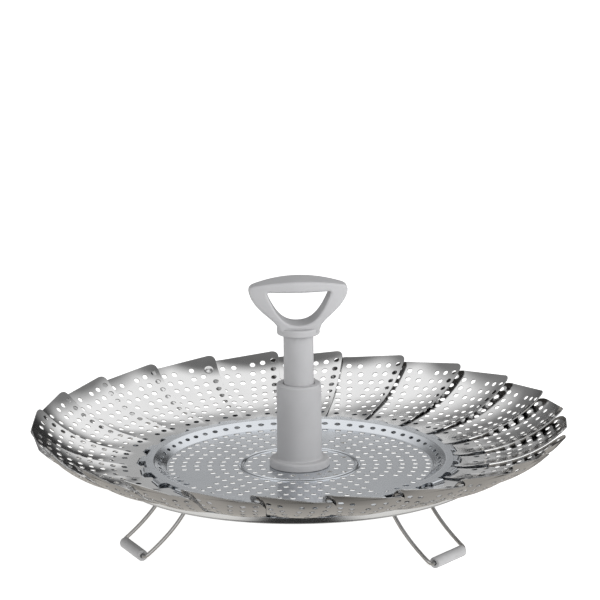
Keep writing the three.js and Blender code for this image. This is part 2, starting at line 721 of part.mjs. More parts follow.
LEGS.forEach((side, i) => {
  const leg = new THREE.Group();
  leg.rotation.z = legAngles[i];
  place(`leg_wire_${side}`, legWire(), wireSteel, leg);
  place(`foot_sleeve_${side}`, footSleeve(), greySilicone, leg);
  place(`leg_strap_${side}`, legStrap(), polishedSteel, leg);
  rack.add(leg);
});

const handle = new THREE.Group();
handle.position.z = FIELD_HEIGHT + SEAT_GAP;
place('handle_socket', handleSocket(), greyPlastic, handle);
place('socket_plug', socketPlug(), greyPlastic, handle);
place('handle_stem', stem(), greyPlastic, handle);
place('friction_ring', frictionRing(), darkRubber, handle);
place('handle_grip', grip(), greyPlastic, handle).rotation.z = rad(GRIP_TURN);
rack.add(handle);

place('fixing_washer', fixingWasher(), polishedSteel);
place('fixing_screw', fixingScrew(), screwSteel);

export default rack;
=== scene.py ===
"""Dresses a folding steaming rack: its base plate, petals, legs and handle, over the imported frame.

Shapes are drawn in millimetres and stored in metres. The table is at z = 0 and the front faces -Y.
"""

import logging
import math
from dataclasses import dataclass
from enum import Enum
from typing import Callable, Iterable, Sequence

import bmesh
import bpy
from mathutils import Matrix, Vector


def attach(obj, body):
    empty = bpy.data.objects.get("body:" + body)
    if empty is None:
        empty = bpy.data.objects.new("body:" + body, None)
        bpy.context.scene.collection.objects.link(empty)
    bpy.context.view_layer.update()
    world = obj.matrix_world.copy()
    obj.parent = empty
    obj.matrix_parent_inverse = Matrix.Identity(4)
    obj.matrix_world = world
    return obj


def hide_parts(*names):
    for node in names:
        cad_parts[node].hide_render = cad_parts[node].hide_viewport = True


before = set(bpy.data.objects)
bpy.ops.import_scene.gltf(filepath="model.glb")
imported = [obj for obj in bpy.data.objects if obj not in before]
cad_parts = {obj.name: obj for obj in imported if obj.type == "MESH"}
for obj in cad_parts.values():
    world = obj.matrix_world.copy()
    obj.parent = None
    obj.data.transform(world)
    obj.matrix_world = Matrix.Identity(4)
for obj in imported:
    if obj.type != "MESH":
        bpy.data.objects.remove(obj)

log = logging.getLogger("steaming_rack")

MM = 0.001
WELD = 1e-4
LEAST_LEAN = 0.5  # keeps a sharp corner from shooting out where an outline is shifted
SPIN_FACETS = 96
SPIN_CORNER_STEPS = 5
OUTWARDS = Vector((1, 0, 0))
WHITE = (1, 1, 1, 1)

Edges = list[bmesh.types.BMEdge]
Verts = list[bmesh.types.BMVert]
Socket = bpy.types.NodeSocket
Input = Socket | float | Sequence[float]
Inputs = dict[str | int, Input]
Colour = tuple[float, float, float]
Span = tuple[float, float]
Outline = list[tuple[float, float, float]]


class Slot(Enum):
    """Material slots of the record."""

    BASE = "polished_steel"
    PETAL = "petal_steel"
    WIRE = "wire_steel"
    SCREW = "screw_steel"
    PLASTIC = "grey_plastic"
    SILICONE = "grey_silicone"
    RUBBER = "dark_rubber"


class Side(Enum):
    """The three legs, with the way each one faces in degrees counter-clockwise from +X."""

    RIGHT = -36.4
    BACK = 83.6
    LEFT = 203.6


def grey(level: float) -> Colour:
    """Gives the colour of a grey level."""
    return (level, level, level)


class Graph:
    """The nodes of a material or a world, with short ways to add them."""

    def __init__(self, owner: bpy.types.Material | bpy.types.World) -> None:
        """Opens the nodes of a material or a world.

        Args:
            owner: The material or the world.
        """
        owner.use_nodes = True
        self.nodes = owner.node_tree.nodes
        self.link = owner.node_tree.links.new

    def feed(self, node: bpy.types.Node, inputs: Inputs) -> None:
        """Fills a node's inputs.

        Args:
            node: The node.
            inputs: Output that is wired to each input, or a plain value for it.
        """
        for name, value in inputs.items():
            if isinstance(value, Socket):
                self.link(value, node.inputs[name])
            else:
                node.inputs[name].default_value = value

    def add(self, kind: str, inputs: Inputs, output: str | int = 0, **settings: str) -> Socket:
        """Adds a node.

        Args:
            kind: Type of the node, without its prefix.
            inputs: Output that is wired to each input, or a plain value for it.
            output: Name or number of the output that is handed on.
            settings: Properties of the node.

        Returns:
            The output.
        """
        node = self.nodes.new("ShaderNode" + kind)
        for name, value in settings.items():
            setattr(node, name, value)
        self.feed(node, inputs)
        return node.outputs[output]

    def coords(self, kind: str) -> Socket:
        """Gives coordinates of one kind, or the normal."""
        return self.add("TexCoord", {}, kind)

    def ray(self, kind: str) -> Socket:
        """Tells as 1 or 0 whether a ray is of one kind."""
        return self.add("LightPath", {}, kind)

    def parts(self, vector: Socket) -> list[Socket]:
        """Splits a vector into x, y and z."""
        return self.add("SeparateXYZ", {"Vector": vector}).node.outputs[:]

    def noise(self, scale: float, detail: float) -> Socket:
        """Adds noise with so many blotches per metre and finer layers in it."""
        place = self.coords("Object")
        return self.add("TexNoise", {"Vector": place, "Scale": scale, "Detail": detail}, "Fac")

    def math(self, operation: str, *values: Socket) -> Socket:
        """Works out an operation on values."""
        return self.add("Math", dict(enumerate(values)), operation=operation)

    def span(self, value: Socket, before: Span, after: Span = (0, 1)) -> Socket:
        """Maps one range of values onto another."""
        limits = zip(("From Min", "From Max", "To Min", "To Max"), before + after)
        return self.add("MapRange", {"Value": value, **dict(limits)}, "Result")

    def mix(self, factor: Input, first: Input, second: Input, blend: str = "MIX") -> Socket:
        """Mixes two colours."""
        inputs = {"Factor": factor, "A": first, "B": second}
        return self.add("Mix", inputs, "Result", data_type="RGBA", blend_type=blend)

    def ramp(self, value: Socket, stops: Sequence[Span]) -> Socket:
        """Turns a value into a grey.

        Args:
            value: The value.
            stops: Value and grey level of each stop, in order.

        Returns:
            The grey.
        """
        shade = self.add("ValToRGB", {"Fac": value}, "Color")
        elements = shade.node.color_ramp.elements
        for index, (place, level) in enumerate(stops):
            element = elements[index] if index < len(elements) else elements.new(place)
            element.position = place
            element.color = (*grey(level), 1)
        return shade

    def split(self, plain: Socket, mirrored: Socket, end: str) -> None:
        """Ends the nodes with a surface that the steel mirrors and another one for all other rays."""
        choice = self.add("MixShader", {"Fac": self.ray("Is Glossy Ray"), 1: plain, 2: mirrored})
        self.feed(self.nodes[end], {"Surface": choice})


@dataclass(frozen=True)
class Finish:
    """A surface with a fine grain, a slightly uneven gloss and, where asked, painted shade on the faces that
    look down.
    """

    slot: Slot
    colour: Colour
    shade: Colour  # of the duller patches
    roughness: Span  # lowest and highest
    metallic: float  # 1 for steel and 0 for plastic
    patch: float  # patches of gloss per metre
    grain: float  # grains per metre
    relief: float  # height of the grain in metres
    under: float = 1.0  # share of the colour on faces that look down, which paints shade on the undersides

    PATCH_DETAIL = 3.0
    GRAIN_DETAIL = 2.0
    GLOSS_RANGE = (0.3, 0.7)
    TINT_RANGE = (0.35, 0.65)
    PAINTED_SHADE_TURN_RANGE = (-0.1, 0.1)

    def material(self) -> bpy.types.Material:
        """Returns the finish's material, which is made at its first use."""
        known = bpy.data.materials.get(self.slot.value + "_finish")
        return known or self._make()

    def _make(self) -> bpy.types.Material:
        """Builds the material's nodes.

        Returns:
            The new material.
        """
        material = bpy.data.materials.new(self.slot.value + "_finish")
        graph = Graph(material)
        patches = graph.noise(self.patch, self.PATCH_DETAIL)
        grain = graph.noise(self.grain, self.GRAIN_DETAIL)
        tint = graph.mix(graph.span(patches, self.TINT_RANGE), (*self.shade, 1), (*self.colour, 1))
        # Painted shade: faces that look down get a darker colour, down to the share under of it
        facing = graph.parts(graph.coords("Normal"))[2]
        painted_underside_shade = graph.span(facing, self.PAINTED_SHADE_TURN_RANGE, (self.under, 1))
        bump = {"Strength": 1, "Distance": self.relief, "Height": grain}
        graph.feed(graph.nodes["Principled BSDF"], {
            "Base Color": graph.mix(1, tint, painted_underside_shade, "MULTIPLY"),
            "Metallic": self.metallic,
            "Roughness": graph.span(patches, self.GLOSS_RANGE, self.roughness),
            "Normal": graph.add("Bump", bump, "Normal"),
        })
        return material


BASE_STEEL = Finish(Slot.BASE, (0.74, 0.77, 0.81), (0.70, 0.73, 0.77), (0.16, 0.22), 1, 60, 1500, 2e-6)
# The petals' undersides carry painted shade, at 0.68 of their colour
PETAL_STEEL = Finish(Slot.PETAL, grey(0.80), grey(0.76), (0.10, 0.16), 1, 60, 1500, 1.5e-6, under=0.68)
WIRE_STEEL = Finish(Slot.WIRE, grey(0.60), grey(0.56), (0.05, 0.09), 1, 120, 1800, 1e-6)
SCREW_STEEL = Finish(Slot.SCREW, (0.66, 0.67, 0.68), (0.58, 0.59, 0.60), (0.28, 0.38), 1, 200, 2500, 3e-6)
PLASTIC = Finish(Slot.PLASTIC, (0.48, 0.48, 0.49), (0.46, 0.46, 0.47), (0.46, 0.54), 0, 90, 5000, 8e-6)
SILICONE = Finish(Slot.SILICONE, (0.42, 0.42, 0.425), (0.39, 0.39, 0.395), (0.58, 0.68), 0, 120, 4000, 8e-6)
RUBBER = Finish(Slot.RUBBER, (0.040, 0.040, 0.041), (0.030, 0.030, 0.031), (0.70, 0.80), 0, 200, 4000, 8e-6)


def rounded(corners: Sequence[tuple[Vector, float]], steps: int, closed: bool = True) -> list[Vector]:
    """Rounds the corners of a line.

    Args:
        corners: Each corner and the length that its rounding takes from both of its sides.
        steps: Pieces in each rounded corner.
        closed: Whether the line runs back to its first corner.

    Returns:
        The line's points, in order.
    """
    points = []
    last = len(corners) - 1
    for i, (here, size) in enumerate(corners):
        if not size or (not closed and i in (0, last)):
            points.append(here.copy())
            continue
        start = here + (corners[i - 1][0] - here).normalized() * size
        end = here + (corners[(i + 1) % len(corners)][0] - here).normalized() * size
        points += bezier([start, here, end], steps)
    return points


def bezier(pulls: Sequence[Vector], steps: int) -> list[Vector]:
    """Follows a smooth curve.

    Args:
        pulls: First point, the points that pull the curve, and last point.
        steps: Pieces of the curve.

    Returns:
        The curve's points, with both ends.
    """
    points = []
    for step in range(steps + 1):
        level = list(pulls)
        while len(level) > 1:
            level = [a.lerp(b, step / steps) for a, b in zip(level, level[1:])]
        points.append(level[0])
    return points


def shifted(outline: Sequence[Vector], distance: float) -> list[Vector]:
    """Moves a closed flat outline to its left, which is inwards where it runs counter-clockwise.

    Args:
        outline: Points of the outline.
        distance: How far it moves.

    Returns:
        The moved points.
    """
    moved = []
    for i, here in enumerate(outline):
        before = (here - outline[i - 1]).normalized()
        after = (outline[(i + 1) % len(outline)] - here).normalized()
        left = Vector((-before.y - after.y, before.x + after.x)).normalized()
        lean = max(left.dot(Vector((-before.y, before.x))), LEAST_LEAN)
        moved.append(here + left * (distance / lean))
    return moved


def verts_of(geometry: Iterable) -> Verts:
    """Picks the vertices out of what an operator made."""
    return [item for item in geometry if isinstance(item, bmesh.types.BMVert)]


def circle(mesh: bmesh.types.BMesh, radius: float, facets: int, place: Matrix) -> Edges:
    """Draws a circle about a place's z axis."""
    verts = bmesh.ops.create_circle(mesh, segments=facets, radius=radius, matrix=place)["verts"]
    return list({edge for vert in verts for edge in vert.link_edges})


def extruded(mesh: bmesh.types.BMesh, edges: Edges) -> tuple[Verts, Edges]:
    """Extrudes open edges without moving them.

    Args:
        mesh: Mesh of the edges.
        edges: The edges.

    Returns:
        The new vertices, and the new edges between them.
    """
    made = bmesh.ops.extrude_edge_only(mesh, edges=edges)["geom"]
    verts = verts_of(made)
    edges = [item for item in made if isinstance(item, bmesh.types.BMEdge)]
    fresh = set(verts)
    return verts, [edge for edge in edges if fresh.issuperset(edge.verts)]


def stored(mesh: bmesh.types.BMesh, name: str, even: bool = False) -> bpy.types.Object:
    """Turns a mesh in millimetres into an object of the scene, in metres.

    Args:
        mesh: Mesh to store, which is then freed.
        name: Name of the object.
        even: Whether large flat faces are shaded as flat.

    Returns:
        The new object.
    """
    bmesh.ops.scale(mesh, vec=(MM, MM, MM), verts=mesh.verts)
    for face in mesh.faces:
        face.smooth = True
    data = bpy.data.meshes.new(name)
    mesh.to_mesh(data)
    mesh.free()
    obj = bpy.data.objects.new(name, data)
    bpy.context.scene.collection.objects.link(obj)
    if even:
        obj.modifiers.new("even_shading", "WEIGHTED_NORMAL")
    return obj


def settled(obj: bpy.types.Object, finish: Finish, body: str, *nodes: str) -> None:
    """Dresses a piece and sets it on the body that it moves with.

    Args:
        obj: The piece.
        finish: Finish that it wears.
        body: Body of the frame.
        nodes: CAD nodes that it is shown for.
    """
    obj.data.materials.append(finish.material())
    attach(obj, body)
    if nodes:
        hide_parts(*nodes)
    log.info("%s: %d faces, moves with %s", obj.name, len(obj.data.polygons), body)


def turned(name: str, corners: Outline, place: Matrix = Matrix(), on_axis: bool = False) -> bpy.types.Object:
    """Spins an outline of radius and height into a piece.

    Args:
        name: Name of the piece.
        corners: Radius, height and rounding of each corner, in order.
        place: Where the piece goes.
        on_axis: Whether the outline starts and ends on the axis, or else closes on itself.

    Returns:
        The piece.
    """
    line = [(Vector((radius, height)), size) for radius, height, size in corners]
    points = rounded(line, SPIN_CORNER_STEPS, closed=not on_axis)
    mesh = bmesh.new()
    verts = [mesh.verts.new((point.x, 0, point.y)) for point in points]
    pairs = list(zip(verts, verts[1:]))
    if not on_axis:
        pairs.append((verts[-1], verts[0]))
    edges = [mesh.edges.new(pair) for pair in pairs]
    bmesh.ops.spin(mesh, geom=verts + edges, cent=(0, 0, 0), axis=(0, 0, 1), angle=math.tau,
                   steps=SPIN_FACETS, use_merge=True)
    bmesh.ops.remove_doubles(mesh, verts=mesh.verts, dist=WELD)
    bmesh.ops.recalc_face_normals(mesh, faces=mesh.faces)
    bmesh.ops.transform(mesh, matrix=place, verts=mesh.verts)
    return stored(mesh, name, even=True)


class Sheet:
    """A sheet with holes, which is drawn flat, given thickness and rounded rims, and bent into place."""

    BEND_STEP = 0.01

    def __init__(self, thickness: float, edge: float, steps: int = 2) -> None:
        """Starts an empty sheet, with a layer for the direction that each vertex faces.

        Args:
            thickness: Thickness of the sheet.
            edge: Radius of its rims.
            steps: Pieces in each rounded rim.
        """
        self.thickness = thickness
        self.edge = edge
        self.steps = steps
        self.mesh = bmesh.new()
        self.shade = self.mesh.verts.layers.float_vector.new("shade")

    def outline(self, points: Sequence[Vector]) -> Edges:
        """Draws a closed line through points."""
        verts = [self.mesh.verts.new((point.x, point.y, 0)) for point in points]
        return [self.mesh.edges.new(pair) for pair in zip(verts, verts[1:] + verts[:1])]

    def round(self, centre: Vector, radius: float, facets: int) -> Edges:
        """Draws a circle."""
        return circle(self.mesh, radius, facets, Matrix.Translation((centre.x, centre.y, 0)))

    def hole(self, centre: Vector, radius: float, facets: int) -> Edges:
        """Draws the rim of a round hole, outside the radius of its wall."""
        return self.round(centre, radius + self.edge, facets)

    def fill(self, edges: Edges) -> None:
        """Fills the area between closed lines."""
        bmesh.ops.triangle_fill(self.mesh, use_beauty=True, edges=edges, normal=(0, 0, 1))

    def belts(self, centre: Vector, radii: Sequence[float], facets: int) -> None:
        """Fills the belts between circles.

        Args:
            centre: Middle of the circles.
            radii: Their radii, in order.
            facets: Their sides.
        """
        for inner, outer in zip(radii, radii[1:]):
            pair = self.round(centre, inner, facets) + self.round(centre, outer, facets)
            bmesh.ops.bridge_loops(self.mesh, edges=pair)

    def slice(self, places: Iterable[float]) -> None:
        """Divides the faces along lines across x, so that the sheet bends smoothly there.

        Args:
            places: Places of the lines.
        """
        for place in places:
            everything = self.mesh.verts[:] + self.mesh.edges[:] + self.mesh.faces[:]
            bmesh.ops.bisect_plane(self.mesh, geom=everything, dist=WELD, plane_co=OUTWARDS * place,
                                   plane_no=OUTWARDS)

    def close(self) -> None:
        """Gives the flat sheet its thickness and its rounded rims."""
        mesh = self.mesh
        bmesh.ops.remove_doubles(mesh, verts=mesh.verts, dist=WELD)
        bmesh.ops.translate(mesh, vec=(0, 0, self.thickness / 2), verts=mesh.verts)
        for vert in mesh.verts:
            vert[self.shade] = (0, 0, 1)
        rim = [edge for edge in mesh.edges if edge.is_boundary]
        away = self._away(rim)
        under = verts_of(bmesh.ops.duplicate(mesh, geom=mesh.faces[:])["geom"])
        bmesh.ops.translate(mesh, vec=(0, 0, -self.thickness), verts=under)
        for vert in under:
            vert[self.shade] = (0, 0, -1)
        for out, drop, lean in self._rim_steps():
            rim, away = self._roll(rim, away, out, drop, lean)
        bmesh.ops.remove_doubles(mesh, verts=list(away) + under, dist=WELD)
        bmesh.ops.recalc_face_normals(mesh, faces=mesh.faces)

    def _away(self, rim: Edges) -> dict[bmesh.types.BMVert, tuple[Vector, Vector]]:
        """Finds where the rim's vertices stand and which way leads off the sheet there.

        Args:
            rim: Boundary edges of the upper face.

        Returns:
            Place and outward direction of each vertex.
        """
        outward: dict[bmesh.types.BMVert, Vector] = {}
        for edge in rim:
            start, end = edge.verts
            side = (end.co - start.co).normalized().cross(Vector((0, 0, 1)))
            if side.dot(edge.link_faces[0].calc_center_median() - start.co) > 0:
                side.negate()
            for vert in edge.verts:
                outward[vert] = outward.get(vert, Vector()) + side
        return {vert: (vert.co.copy(), way.normalized()) for vert, way in outward.items()}

    def _rim_steps(self) -> list[tuple[float, float, float]]:
        """Divides the way round a rim.

        Returns:
            Each step's distance out, drop from the upper face and angle faced, in radians from straight up.
        """
        turns = [math.pi / 2 * (i + 1) / self.steps for i in range(self.steps)]
        upper = [(self.edge * math.sin(a), self.edge * (1 - math.cos(a)), a) for a in turns]
        lower = [(out, self.thickness - drop, math.pi - a) for out, drop, a in reversed(upper)]
        return upper + lower + [(0, self.thickness, math.pi)]

    def _roll(self, rim: Edges, away: dict, out: float, drop: float, lean: float) -> tuple[Edges, dict]:
        """Carries the rim one step further round its edge.

        Args:
            rim: Edges that have been reached.
            away: Place and outward direction of their vertices.
            out: Distance of the step out from the sheet.
            drop: Its drop from the upper face.
            lean: Angle that it faces, from straight up.

        Returns:
            The new edges, and the place and outward direction of their vertices.
        """
        verts, edges = extruded(self.mesh, rim)
        reached = {}
        for vert in verts:
            near = (edge.other_vert(vert) for edge in vert.link_edges)
            place, way = next(away[other] for other in near if other in away)
            vert.co = place + way * out - Vector((0, 0, drop))
            vert[self.shade] = way * math.sin(lean) + Vector((0, 0, math.cos(lean)))
            reached[vert] = (place, way)
        return edges, reached

    def bend(self, place: Callable[[Vector], Vector]) -> None:
        """Moves every point of the sheet, and turns the way that it faces with it.

        Args:
            place: Gives the new place of a point.
        """
        for vert in self.mesh.verts:
            start = vert.co.copy()
            there = place(start)
            steps = [place(start + Vector(axis) * self.BEND_STEP) - there for axis in Matrix.Identity(3)]
            turn = Matrix(steps).transposed()
            vert[self.shade] = (turn.inverted_safe().transposed() @ vert[self.shade]).normalized()
            vert.co = there

    def repeat(self, places: Sequence[Matrix]) -> None:
        """Puts a copy of the sheet at each place, instead of where it is.

        Args:
            places: Where the copies go.
        """
        first = self.mesh.verts[:] + self.mesh.edges[:] + self.mesh.faces[:]
        for place in places:
            verts = verts_of(bmesh.ops.duplicate(self.mesh, geom=first)["geom"])
            bmesh.ops.transform(self.mesh, matrix=place, verts=verts)
            for vert in verts:
                vert[self.shade] = place.to_3x3() @ vert[self.shade]
        bmesh.ops.delete(self.mesh, geom=verts_of(first), context="VERTS")

    def piece(self, name: str, place: Matrix = Matrix()) -> bpy.types.Object:
        """Stores a copy of the sheet as an object.

        Args:
            name: Name of the object.
            place: Where the copy goes.

        Returns:
            The new object.
        """
        mesh = self.mesh.copy()
        shade = mesh.verts.layers.float_vector["shade"]
        facing = [(place.to_3x3() @ vert[shade]).normalized() for vert in mesh.verts]
        mesh.verts.layers.float_vector.remove(shade)
        bmesh.ops.transform(mesh, matrix=place, verts=mesh.verts)
        obj = stored(mesh, name)
        obj.data.normals_split_custom_set_from_vertices(facing)
        return obj


@dataclass(frozen=True)
class Curl:
    """A strip that runs out level over a pin and curls down round it: a petal's hook or a leg's strap."""

    width: float
    root: float  # length of the level part
    sheet: float  # thickness of the metal
    inner: float  # inner radius of the curl
    turn: float  # degrees that it curls round
    rim: float  # radius of its rims
    corner: float  # rounding of its corners
    steps: int  # pieces in each rounded corner

    SLICES = 16

    @property
    def middle(self) -> float:
        """Radius of the middle of the curl's metal."""
        return self.inner + self.sheet / 2

    def build(self) -> Sheet:
        """Builds the strip, with the pin along the y axis.

        Returns:
            The strip's sheet.
        """
        sheet = Sheet(self.sheet, self.rim)
        curl = math.radians(self.turn) * self.middle
        length = self.root + curl
        half = self.width / 2
        corners = [Vector((0, -half)), Vector((length, -half)), Vector((length, half)), Vector((0, half))]
        outer = rounded([(corner, self.corner) for corner in corners], self.steps)
        sheet.fill(sheet.outline(shifted(outer, self.rim)))
        sheet.slice(self.root + curl * i / self.SLICES for i in range(self.SLICES))
        sheet.close()
        sheet.bend(self._place)
        return sheet

    def _place(self, flat: Vector) -> Vector:
        """Bends a point of the flat strip.

        Args:
            flat: Point of the flat strip, with x along it.

        Returns:
            The bent point, measured from the pin.
        """
        past = flat.x - self.root
        arm = self.middle + flat.z
        if past < 0:
            return Vector((past, flat.y, arm))
        turn = math.pi / 2 - past / self.middle
        return Vector((arm * math.cos(turn), flat.y, arm * math.sin(turn)))


@dataclass
class BasePlate:
    """The perforated stamping, with its field, bead, sloped band and flange, and the support pan."""

    height: float = 36  # top of the field above the table
    field: float = 69  # radius
    band: float = 6.3  # width of the sloped band
    flange: float = 4.2  # width
    rise: float = 3.5  # of the flange over the field
    sheet: float = 0.6  # thickness of the metal
    rim: float = 0.14  # radius of its rims
    blend: float = 0.65  # half width of the bends at the band's two sides
    bead: float = 30  # radius of its middle
    bead_width: float = 3
    bead_height: float = 1
    hole: float = 1.6  # radius of a steam hole
    pitch: float = 6.65  # between the rings of holes
    band_ring: float = 72.4  # radius of the ring of holes in the band
    band_holes: int = 66
    band_hole_half: float = 1.6  # half the length of such a hole, along the ring
    band_hole_low: float = 0.85  # half its width, down the slope
    centre_hole: float = 2.3  # radius of the screw's hole
    blank_inner: float = 49  # where the bare metal over a strap starts, from the middle of the plate
    blank_outer: float = 66  # where it ends
    blank_half: float = 11  # half its width
    pan: float = 98  # radius of the support pan under the flange
    pan_lap: float = 0.3  # how far it reaches in under the field
    pan_lap_edge: float = 0.1  # rounding
    pan_height: float = 35.7  # of its floor, at the inside
    pan_fall: float = 1.2  # of the floor, from its inside to its outside
    pan_bend: float = 1.2  # outer rounding where the edge turns up
    pan_top: float = 37.51  # height of the turned-up edge
    pan_lip: float = 0.25  # rounding of its top

    FACETS = 240
    HOLE_FACETS = 14
    HOLES_PER_RING = 6
    BEAD_STEPS = 10
    BLEND_STEPS = 4
    RINGS_INSIDE = range(3, 5)
    RINGS_OUTSIDE = range(5, 11)

    def build(self) -> None:
        """Builds the plate and sets it on its body."""
        sheet = Sheet(self.sheet, self.rim)
        middle = Vector((0, 0))
        half = self.bead_width / 2
        top = self.field + self.band
        radii = [
            self.centre_hole + self.rim, self.bead - half, self.bead + half, self.field - self.blend,
            self.field + self.blend, top - self.blend, top + self.blend, top + self.flange - self.rim,
        ]
        drawn = [sheet.round(middle, radius, self.FACETS) for radius in radii[:-1]]
        sheet.fill(drawn[0] + drawn[1] + self._holes(sheet, self.RINGS_INSIDE))
        sheet.fill(drawn[2] + drawn[3] + self._holes(sheet, self.RINGS_OUTSIDE))
        sheet.fill(drawn[4] + drawn[5] + self._band_holes(sheet))
        # The bead, the band's two bends and the flange
        for first, steps in ((1, self.BEAD_STEPS), (3, self.BLEND_STEPS), (5, self.BLEND_STEPS), (6, 1)):
            start, end = radii[first:first + 2]
            belt = [start + (end - start) * i / steps for i in range(steps + 1)]
            sheet.belts(middle, belt, self.FACETS)
        sheet.close()
        sheet.bend(self._place)
        settled(sheet.piece("base_stamping"), BASE_STEEL, "base", "base_plate")
        settled(turned("support_pan", self._pan()), BASE_STEEL, "base")

    def _pan(self) -> Outline:
        """Outlines the support pan that carries the open petals.

        Returns:
            Radius, height and rounding of its corners.
        """
        lap = self.field - self.pan_lap
        inside = self.pan - self.sheet
        floor = self.pan_height - self.pan_fall
        return [
            (lap, self.pan_height - self.sheet, self.pan_lap_edge),
            (self.pan, floor - self.sheet, self.pan_bend),
            (self.pan, self.pan_top, self.pan_lip),
            (inside, self.pan_top, self.pan_lip),
            (inside, floor, self.pan_bend - self.sheet),
            (lap, self.pan_height, self.pan_lap_edge),
        ]

    def _holes(self, sheet: Sheet, rings: Iterable[int]) -> Edges:
        """Draws rings of steam holes, leaving bare the places over the straps.

        Args:
            sheet: Sheet to draw on.
            rings: Numbers of the rings, counted in pitches from the middle.

        Returns:
            The rims' edges.
        """
        edges = []
        for ring in rings:
            count = self.HOLES_PER_RING * ring
            for i in range(count):
                angle = math.tau * i / count
                centre = self.pitch * ring * Vector((math.cos(angle), math.sin(angle)))
                if not any(self._bare(centre, side) for side in Side):
                    edges += sheet.hole(centre, self.hole, self.HOLE_FACETS)
        return edges

    def _bare(self, centre: Vector, side: Side) -> bool:
        """Tells whether a place lies over a leg's strap."""
        along, across = Matrix.Rotation(-math.radians(side.value), 2) @ centre
        return abs(across) < self.blank_half and self.blank_inner < along < self.blank_outer

    def _band_holes(self, sheet: Sheet) -> Edges:
        """Draws the ring of long holes in the sloped band.

        Args:
            sheet: Sheet to draw on.

        Returns:
            The rims' edges.
        """
        low = self.band_hole_low + sheet.edge
        half = self.band_hole_half + sheet.edge
        steps = [math.tau * i / self.HOLE_FACETS for i in range(self.HOLE_FACETS)]
        rim = [Vector((self.band_ring + low * math.cos(step), half * math.sin(step))) for step in steps]
        edges = []
        for i in range(self.band_holes):
            turn = Matrix.Rotation(math.tau * (i + 0.5) / self.band_holes, 2)
            edges += sheet.outline([turn @ point for point in rim])
        return edges

    def _place(self, flat: Vector) -> Vector:
        """Lifts a point of the flat sheet to the plate's shape.

        Args:
            flat: Point of the flat sheet.

        Returns:
            Its place on the plate.
        """
        radius = math.hypot(flat.x, flat.y)
        rise, slope = self._profile(radius)
        lean = math.atan(slope)
        reach = radius - flat.z * math.sin(lean)
        height = self.height - self.sheet / 2 + rise + flat.z * math.cos(lean)
        return Vector((flat.x * reach / radius, flat.y * reach / radius, height))

    def _profile(self, radius: float) -> tuple[float, float]:
        """Gives the height of the sheet's middle over the field, and its slope.

        Args:
            radius: Distance from the plate's middle.

        Returns:
            Height and slope.
        """
        half = self.bead_width / 2
        if abs(radius - self.bead) < half:
            turn = math.pi * (radius - self.bead) / half
            slope = -self.bead_height * math.pi / self.bead_width * math.sin(turn)
            return self.bead_height * (1 + math.cos(turn)) / 2, slope
        steep = self.rise / self.band
        start = radius - self.field
        end = radius - self.field - self.band
        rise = steep * (self._ramp(start) - self._ramp(end))
        return rise, steep * (self._bent(start) - self._bent(end))

    def _bent(self, past: float) -> float:
        """Gives how far a bend is done, from 0 to 1, at a distance past its middle."""
        return min(max((past + self.blend) / (2 * self.blend), 0), 1)

    def _ramp(self, past: float) -> float:
        """Gives the rise after a bend of unit slope at a distance past its middle."""
        inside = abs(past) < self.blend
        return (past + self.blend) ** 2 / (4 * self.blend) if inside else max(past, 0)


